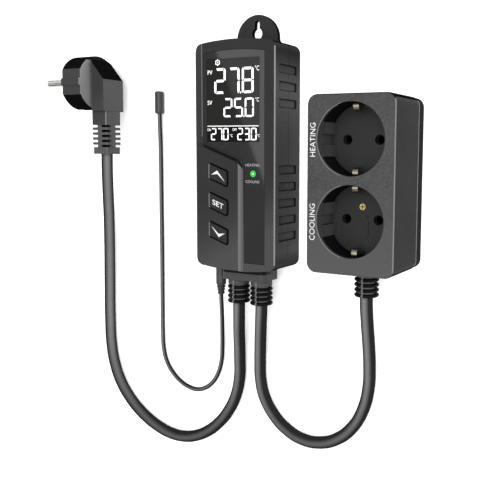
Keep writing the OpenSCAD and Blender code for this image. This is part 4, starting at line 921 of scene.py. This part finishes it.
class OBJECT_OT_controller_shells(bpy.types.Operator):
    """Round the edges of the controller's shells and its outlet block"""
    bl_idname = "object.controller_shells"
    bl_label = "Shells"

    def execute(self, context):
        sizes = context.scene.look_sizes
        rim, crease = sizes.rim / MM, sizes.crease / MM

        def on_tab(p):
            return p.y > 67.5 and p.z < 3.05

        def from_hole(p):
            return math.hypot(p.x - KEYHOLE[0], p.y - KEYHOLE[1])

        front = softened("front_shell", [
            (rim, 1, lambda p, a, b: p.z > 27.3 and (p.x > 28.3 or (on_arch(p, 0.3) and p.z > 28.9))),
            (0.45, 2, lambda p, a, b: p.z > 27.2 and p.x < -28.3),
            (0.3, 2, lambda p, a, b: p.z > 27.4 and abs(a.z) > 0.3 and abs(b.z) > 0.3),
            (0.3, 2, lambda p, a, b: p.z < 14 + NEAR and (on_side(p) or on_arch(p))),
            (crease, 2, lambda p, a, b: 14.1 < p.z < 27 and abs(p.x) > 27.4),
            (0.12, 1, lambda p, a, b: p.z > 27.4 and -24 < p.x < -4 and p.y < 0),
        ])
        rear = softened("rear_shell", [
            (0.9, 3, lambda p, a, b: p.z < NEAR and (on_side(p) or (on_arch(p) and (abs(p.x) > 18
                                                                                    or p.y < 0)))),
            (0.4, 2, lambda p, a, b: on_tab(p) and from_hole(p) > 8),
            (0.25, 1, lambda p, a, b: on_tab(p) and from_hole(p) < 8),
            (0.3, 2, lambda p, a, b: abs(p.z - 14) < NEAR and (on_side(p) or on_arch(p))),
            (crease, 2, lambda p, a, b: 3.2 < p.z < 13.9 and abs(p.x) > 27.4),
        ])
        outlet = softened("cord_outlet", [
            (0.8, 3, lambda p, a, b: p.y < -74.7 and (abs(p.x - OUTLET_X) > 14.9
                                                      or abs(p.z - CASE_MIDDLE_Z) > 9)),
            (0.25, 2, lambda p, a, b: p.y < -74.7 and abs(p.x - OUTLET_X) < 15
             and abs(p.z - CASE_MIDDLE_Z) < 6),
        ])
        # A lit copy on the case's sides; painted shade on the walls round the keys, the end faces and the tab
        sides = [("case_side", lambda p, n: abs(n.x) > 0.75 and abs(p.x) > 17)]
        ends = [
            ("dull_end", lambda p, n: abs(n.z) < 0.4 and abs(p.x + 12.2) < 9 and -56 < p.y < 0),
            ("dull_end", lambda p, n: abs(n.y) > 0.62 and abs(n.z) < 0.6 and p.z < 28.2),
            ("dull_end", lambda p, n: p.y > 67.2 and abs(n.z) < 0.75 and p.z < 3.1),
        ]
        for piece, parts in ((front, sides + ends), (rear, sides + ends), (outlet, ends)):
            present(piece, "charcoal", parts)
        return {"FINISHED"}


# Numbers on the display: digits, left, foot, width, height, bar and pitch in mm
READINGS = (
    ("27.8", -13.6, 36.9, 8.1, 15.0, 1.45, 9.7),
    ("25.0", -7.1, 23.2, 6.25, 11.1, 1.12, 7.45),
    ("27.0", -16.2, 9.7, 3.8, 7.2, 0.74, 4.4),
    ("23.0", 2.6, 9.7, 3.9, 7.2, 0.74, 4.7),
)
# Lit signs beside them: name, letters, middle, height and width in mm
SIGNS = (
    ("lit_pv", "PV", -16.7, 49.6, 2.5, 3.3),
    ("lit_sv", "SV", -16.9, 31.9, 2.5, 3.3),
    ("lit_first_degree", "°C", 16.2, 51.0, 2.9, 2.9),
    ("lit_second_degree", "°C", 16.3, 33.1, 2.4, 2.4),
    ("lit_third_degree", "°C", -1.6, 12.4, 1.7, 1.8),
    ("lit_fourth_degree", "°C", 17.1, 12.4, 1.7, 1.8),
    ("lit_on", "ON", -17.6, 15.9, 1.5, 2.4),
    ("lit_off", "OFF", 0.7, 15.9, 1.5, 3.0),
)
ICON = Vector((-11.2, 55.2))


def flake_outlines(centre):
    """Six arms round a centre, each of a short inner bar and an outer one."""
    outlines = []
    for turn in range(6):
        a = math.radians(60 * turn + 30)
        way, side = Vector((math.cos(a), math.sin(a))), Vector((-math.sin(a), math.cos(a)))
        for near, far, half in ((0.05, 0.5, 0.16), (1.35, 1.85, 0.3)):
            corners = ((-half, near), (-half, far), (half, far), (half, near))
            outlines.append([tuple(centre + side * across + way * along) for across, along in corners])
    return outlines


class OBJECT_OT_controller_display(bpy.types.Operator):
    """Make the window, the lit readings and the small printed words"""
    bl_idname = "object.controller_display"
    bl_label = "Display"

    def execute(self, context):
        step = context.scene.look_sizes.print_height / MM
        top = high("display_window").z / MM
        window = softened("display_window", [(0.12, 1, lambda p, a, b: p.z > top - NEAR)])
        present(window, "window")

        readings = [outline for reading in READINGS for outline in number_outlines(*reading)]
        pieces = [
            flat_piece("lit_readings", readings, top, step),
            flat_piece("lit_line", [rectangle(-18.8, 17.3, 17.7, 18.3)], top, step),
            flat_piece("lit_ring", [circle(ICON, 1.5), circle(ICON, 1.15)[::-1]], top, step),
        ]
        for number, outline in enumerate(flake_outlines(ICON)):
            # The outer bars overlap the ring, so they stand a little higher
            tall = step * (1 + number % 2 * 0.2)
            pieces.append(flat_piece("lit_flake_%02d" % number, [outline], top, tall))
        for name, words, x, y, tall, wide in SIGNS:
            pieces.append(lettering(name, words, (x, y, top), tall, wide, step))
        for piece in pieces:
            present(piece, "print" if piece.name == "lit_line" else "lit")
        for name, words, y in (("small_heating", "HEATING", -4.75), ("small_cooling", "COOLING", -14.45)):
            piece = lettering(name, words, (13.05, y, top), 1.55, 9.5, step)
            present(piece, "faint_print")
        return {"FINISHED"}


class OBJECT_OT_controller_keys(bpy.types.Operator):
    """Round the three keys and put their signs on them"""
    bl_idname = "object.controller_keys"
    bl_label = "Keys"

    def execute(self, context):
        step = context.scene.look_sizes.print_height / MM
        for node, body in (("up_button", "up_key"), ("set_button", "set_key"), ("down_button", "down_key")):
            top = high(node).z / MM
            upper = top - NEAR
            key = softened(node, [(0.32, 3, lambda p, a, b: p.z > upper)])
            x, y, z = (low(node) + high(node)) / (2 * MM)
            left = min(vertex.co.x for vertex in key.data.vertices if vertex.co.z > upper * MM) / MM
            bpy.ops.object.mode_set(mode="EDIT")
            choose(key, "faces", lambda face: face.normal.z > 0.99
                   and face.calc_center_median().z > upper * MM)
            bpy.ops.mesh.inset(thickness=0.42 * MM)
            bpy.ops.object.mode_set(mode="OBJECT")
            # Painted shade on the key's side walls and round the edge of its top, and a painted highlight
            # along its left edge
            present(key, "key_plastic", (
                ("dull_end", lambda p, n: abs(n.z) < 0.3),
                ("dull_end", lambda p, n: n.z > 0.2 and (abs(p.x - x) > 1.5 or abs(p.y - y) > 1.5)),
                ("pale_edge", lambda p, n: n.z > 0.2 and p.x < left + 0.7),
            ), body)
            if node == "set_button":
                sign = lettering("set_sign", "SET", (x - 0.1, y - 0.2, top), 3.3, 8.0, step, slope=20.0,
                                 bold=0.02)
            else:
                way = 1 if node == "up_button" else -1
                outline = [(-4.9, -0.15), (-0.5, 2.35), (5.0, -4.3), (-0.35, 0.35)]
                outline = [(x + way * across, y + way * (along + 0.2)) for across, along in outline]
                sign = flat_piece(node.replace("button", "sign"), [outline], top, step)
            present(sign, "print", body=body)
        return {"FINISHED"}


class OBJECT_OT_controller_probe(bpy.types.Operator):
    """Round the probe's jack and tip"""
    bl_idname = "object.controller_probe"
    bl_label = "Probe"

    def execute(self, context):
        jack = softened("jack_plug", [(0.35, 2, lambda p, a, b: off_axis(p, JACK_AXIS) > 3.0)])
        tip = softened("probe_tip", [(0.2, 2, lambda p, a, b: off_axis(p, TIP_AXIS) > 2.0)])
        for piece in (jack, tip):
            present(piece, "relief", body="probe")
        return {"FINISHED"}


class OBJECT_OT_controller_plug(bpy.types.Operator):
    """Round the mains plug and its ribbed relief"""
    bl_idname = "object.controller_plug"
    bl_label = "Mains plug"

    def execute(self, context):
        crease = context.scene.look_sizes.crease / MM
        axis_x, axis_z = PLUG_AXIS
        face_y, face_z = PLUG_FACE_CENTRE
        body = softened("plug_body", [
            (0.8, 3, lambda p, a, b: p.x < -132.8 and math.hypot(p.y - face_y, p.z - face_z) > 15.5),
            (1.0, 2, lambda p, a, b: p.y < 28.7 and abs(p.x + 103.8) < NEAR and p.z > 23.8),
            (0.25, 2, lambda p, a, b: p.x > -118.5 and abs(a.dot(b)) < 0.9),
            (crease, 1, lambda p, a, b: p.x < -132.8),
        ], smooth=18.0)
        # Painted shade on the barrel's rounded sides and on the tops facing up, a lit copy on faces turned to
        # the right, and a painted highlight on the neck's corner
        present(body, "plug", (
            ("dull_end", lambda p, n: (p.x < -116.7 and abs(n.y) > 0.45 and abs(p.y - face_y) > 8.8)
             or (p.x > -116.7 and n.y > 0.35 and p.y > 45)),
            ("plug_light", lambda p, n: p.x > -116.5 and n.x > 0.3 and abs(n.y) < 0.3),
            ("pale_edge", lambda p, n: p.x > -114 and 0.1 < n.x < 0.6 and n.z > 0.6 and p.y < 31),
        ))
        relief = softened("plug_relief", [
            (0.3, 2, lambda p, a, b: max(abs(p.x - axis_x), abs(p.z - axis_z)) > 5.0),
        ])
        # A lit copy for the relief, with painted shade in its slots and notches and painted highlights on its
        # corners
        present(relief, "plug_light", (
            ("dull_end", lambda p, n: abs(n.y) > 0.8
             or (abs(n.y) < 0.3 and 4.2 < off_axis(p, PLUG_AXIS) < 5.4 and p.y > 3.5)
             or (abs(n.x) > 0.6 and p.z > 21 and abs(p.x - axis_x) < 4.9 and p.y > 3.5)),
            ("pale_edge", lambda p, n: n.x > 0.25 and n.z > 0.25 and abs(n.y) < 0.3 and p.x > -105.5
             and p.z > 22),
        ))
        return {"FINISHED"}


class OBJECT_OT_controller_box(bpy.types.Operator):
    """Round the socket box and its two inserts, and print their names"""
    bl_idname = "object.controller_box"
    bl_label = "Socket box"

    def execute(self, context):
        sizes = context.scene.look_sizes
        step, rim = sizes.print_height / MM, sizes.box_rim / MM
        top = high("box_front").z / MM
        mid_x, mid_y = BOX_CENTRE

        def in_recess(p):
            return any(math.hypot(p.x - x, p.y - y) < 20 for x, y in SOCKET_SPOTS.values())

        def outside(p):
            dx, dy = abs(p.x - mid_x), abs(p.y - mid_y)
            return dx > 24.9 or dy > 47.4 or (dx > 18 and dy > 40)

        front = softened("box_front", [
            (rim, 3, lambda p, a, b: p.z > top - NEAR and not in_recess(p)),
            (0.35, 2, lambda p, a, b: p.z > top - NEAR and in_recess(p)),
            (0.5, 2, lambda p, a, b: p.z < 8 + NEAR and outside(p)),
        ])
        cover = softened("box_cover", [
            (1.0, 3, lambda p, a, b: p.z < NEAR and outside(p)),
            (0.5, 2, lambda p, a, b: abs(p.z - 8) < NEAR and outside(p)),
        ])
        # A shaded copy on the box's sides, a painted highlight on the recess rims, and painted shade on its
        # ends and top
        parts = [
            ("box_side", lambda p, n: abs(n.x) > 0.75 and abs(p.x - mid_x) > 24),
            ("pale_edge", lambda p, n: in_recess(p) and p.z > 42 and 0.2 < n.z < 0.98 and n.x > 0.1),
            ("dull_end", lambda p, n: abs(n.y) > 0.6 and abs(n.z) < 0.6 and abs(p.y - mid_y) > 42),
            ("dull_end", lambda p, n: n.y > 0.3 and p.z > 41.9 and p.y > 31),
        ]
        present(front, "box_grey", parts)
        # Painted shade on the cover's sides
        parts.append(("shade", lambda p, n: abs(n.x) > 0.5 and abs(p.x - mid_x) > 24))
        present(cover, "box_grey", parts)

        for node, (x, y) in SOCKET_SPOTS.items():
            insert = softened(node, [
                (0.25, 2, lambda p, a, b: p.z > 25.4 and abs(p.x - x) > 12),
                (0.3, 2, lambda p, a, b: p.z > 25.4 and abs(p.x - x) < 12.5),
            ])
            # A lit copy on the guides' faces turned to the right, and painted shade on the recess walls
            present(insert, "black_plastic", (
                ("guide", lambda p, n: p.z > 26.5 and n.x > 0.5 and p.x < 70 and abs(p.y - y) < 9.3),
                ("shade", lambda p, n: p.z > 26.2 and abs(n.z) < 0.5 and abs(p.y - y) > 9.3
                 and math.hypot(p.x - x, p.y - y) > 17),
            ))
        for name, words, place_y, wide in (("heating_name", "HEATING", 9.8, 18.0),
                                           ("cooling_name", "COOLING", -34.4, 19.8)):
            piece = lettering(name, words, (60.0, place_y, top), 3.3, wide, step, turn=90.0, bold=0.003)
            present(piece, "print")
        return {"FINISHED"}


STEPS = (
    OBJECT_OT_controller_finishes, OBJECT_OT_controller_stage, OBJECT_OT_controller_cords,
    OBJECT_OT_controller_shells, OBJECT_OT_controller_display, OBJECT_OT_controller_keys,
    OBJECT_OT_controller_probe, OBJECT_OT_controller_plug, OBJECT_OT_controller_box,
)


class VIEW3D_PT_controller(bpy.types.Panel):
    """Lists the sizes, the colours and the steps"""
    bl_label = "Temperature controller"
    bl_space_type = "VIEW_3D"
    bl_region_type = "UI"
    bl_category = "Controller"

    def draw(self, context):
        scene = context.scene
        for group in (scene.look_sizes, scene.look_colours, scene.look_stage):
            for key in group.bl_rna.properties.keys():
                if key not in ("rna_type", "name"):
                    self.layout.prop(group, key)
        for step in STEPS:
            self.layout.operator(step.bl_idname)


CLASSES = (LookSizes, LookColours, LookStage, *STEPS, VIEW3D_PT_controller)


def register():
    for item in CLASSES:
        bpy.utils.register_class(item)
    bpy.types.Scene.look_sizes = PointerProperty(type=LookSizes)
    bpy.types.Scene.look_colours = PointerProperty(type=LookColours)
    bpy.types.Scene.look_stage = PointerProperty(type=LookStage)


def unregister():
    del bpy.types.Scene.look_sizes
    del bpy.types.Scene.look_colours
    del bpy.types.Scene.look_stage
    for item in reversed(CLASSES):
        bpy.utils.unregister_class(item)


def main():
    register()
    for step in STEPS:
        group, name = step.bl_idname.split(".")
        getattr(getattr(bpy.ops, group), name)()
    bpy.context.view_layer.update()


if __name__ == "__main__":
    main()
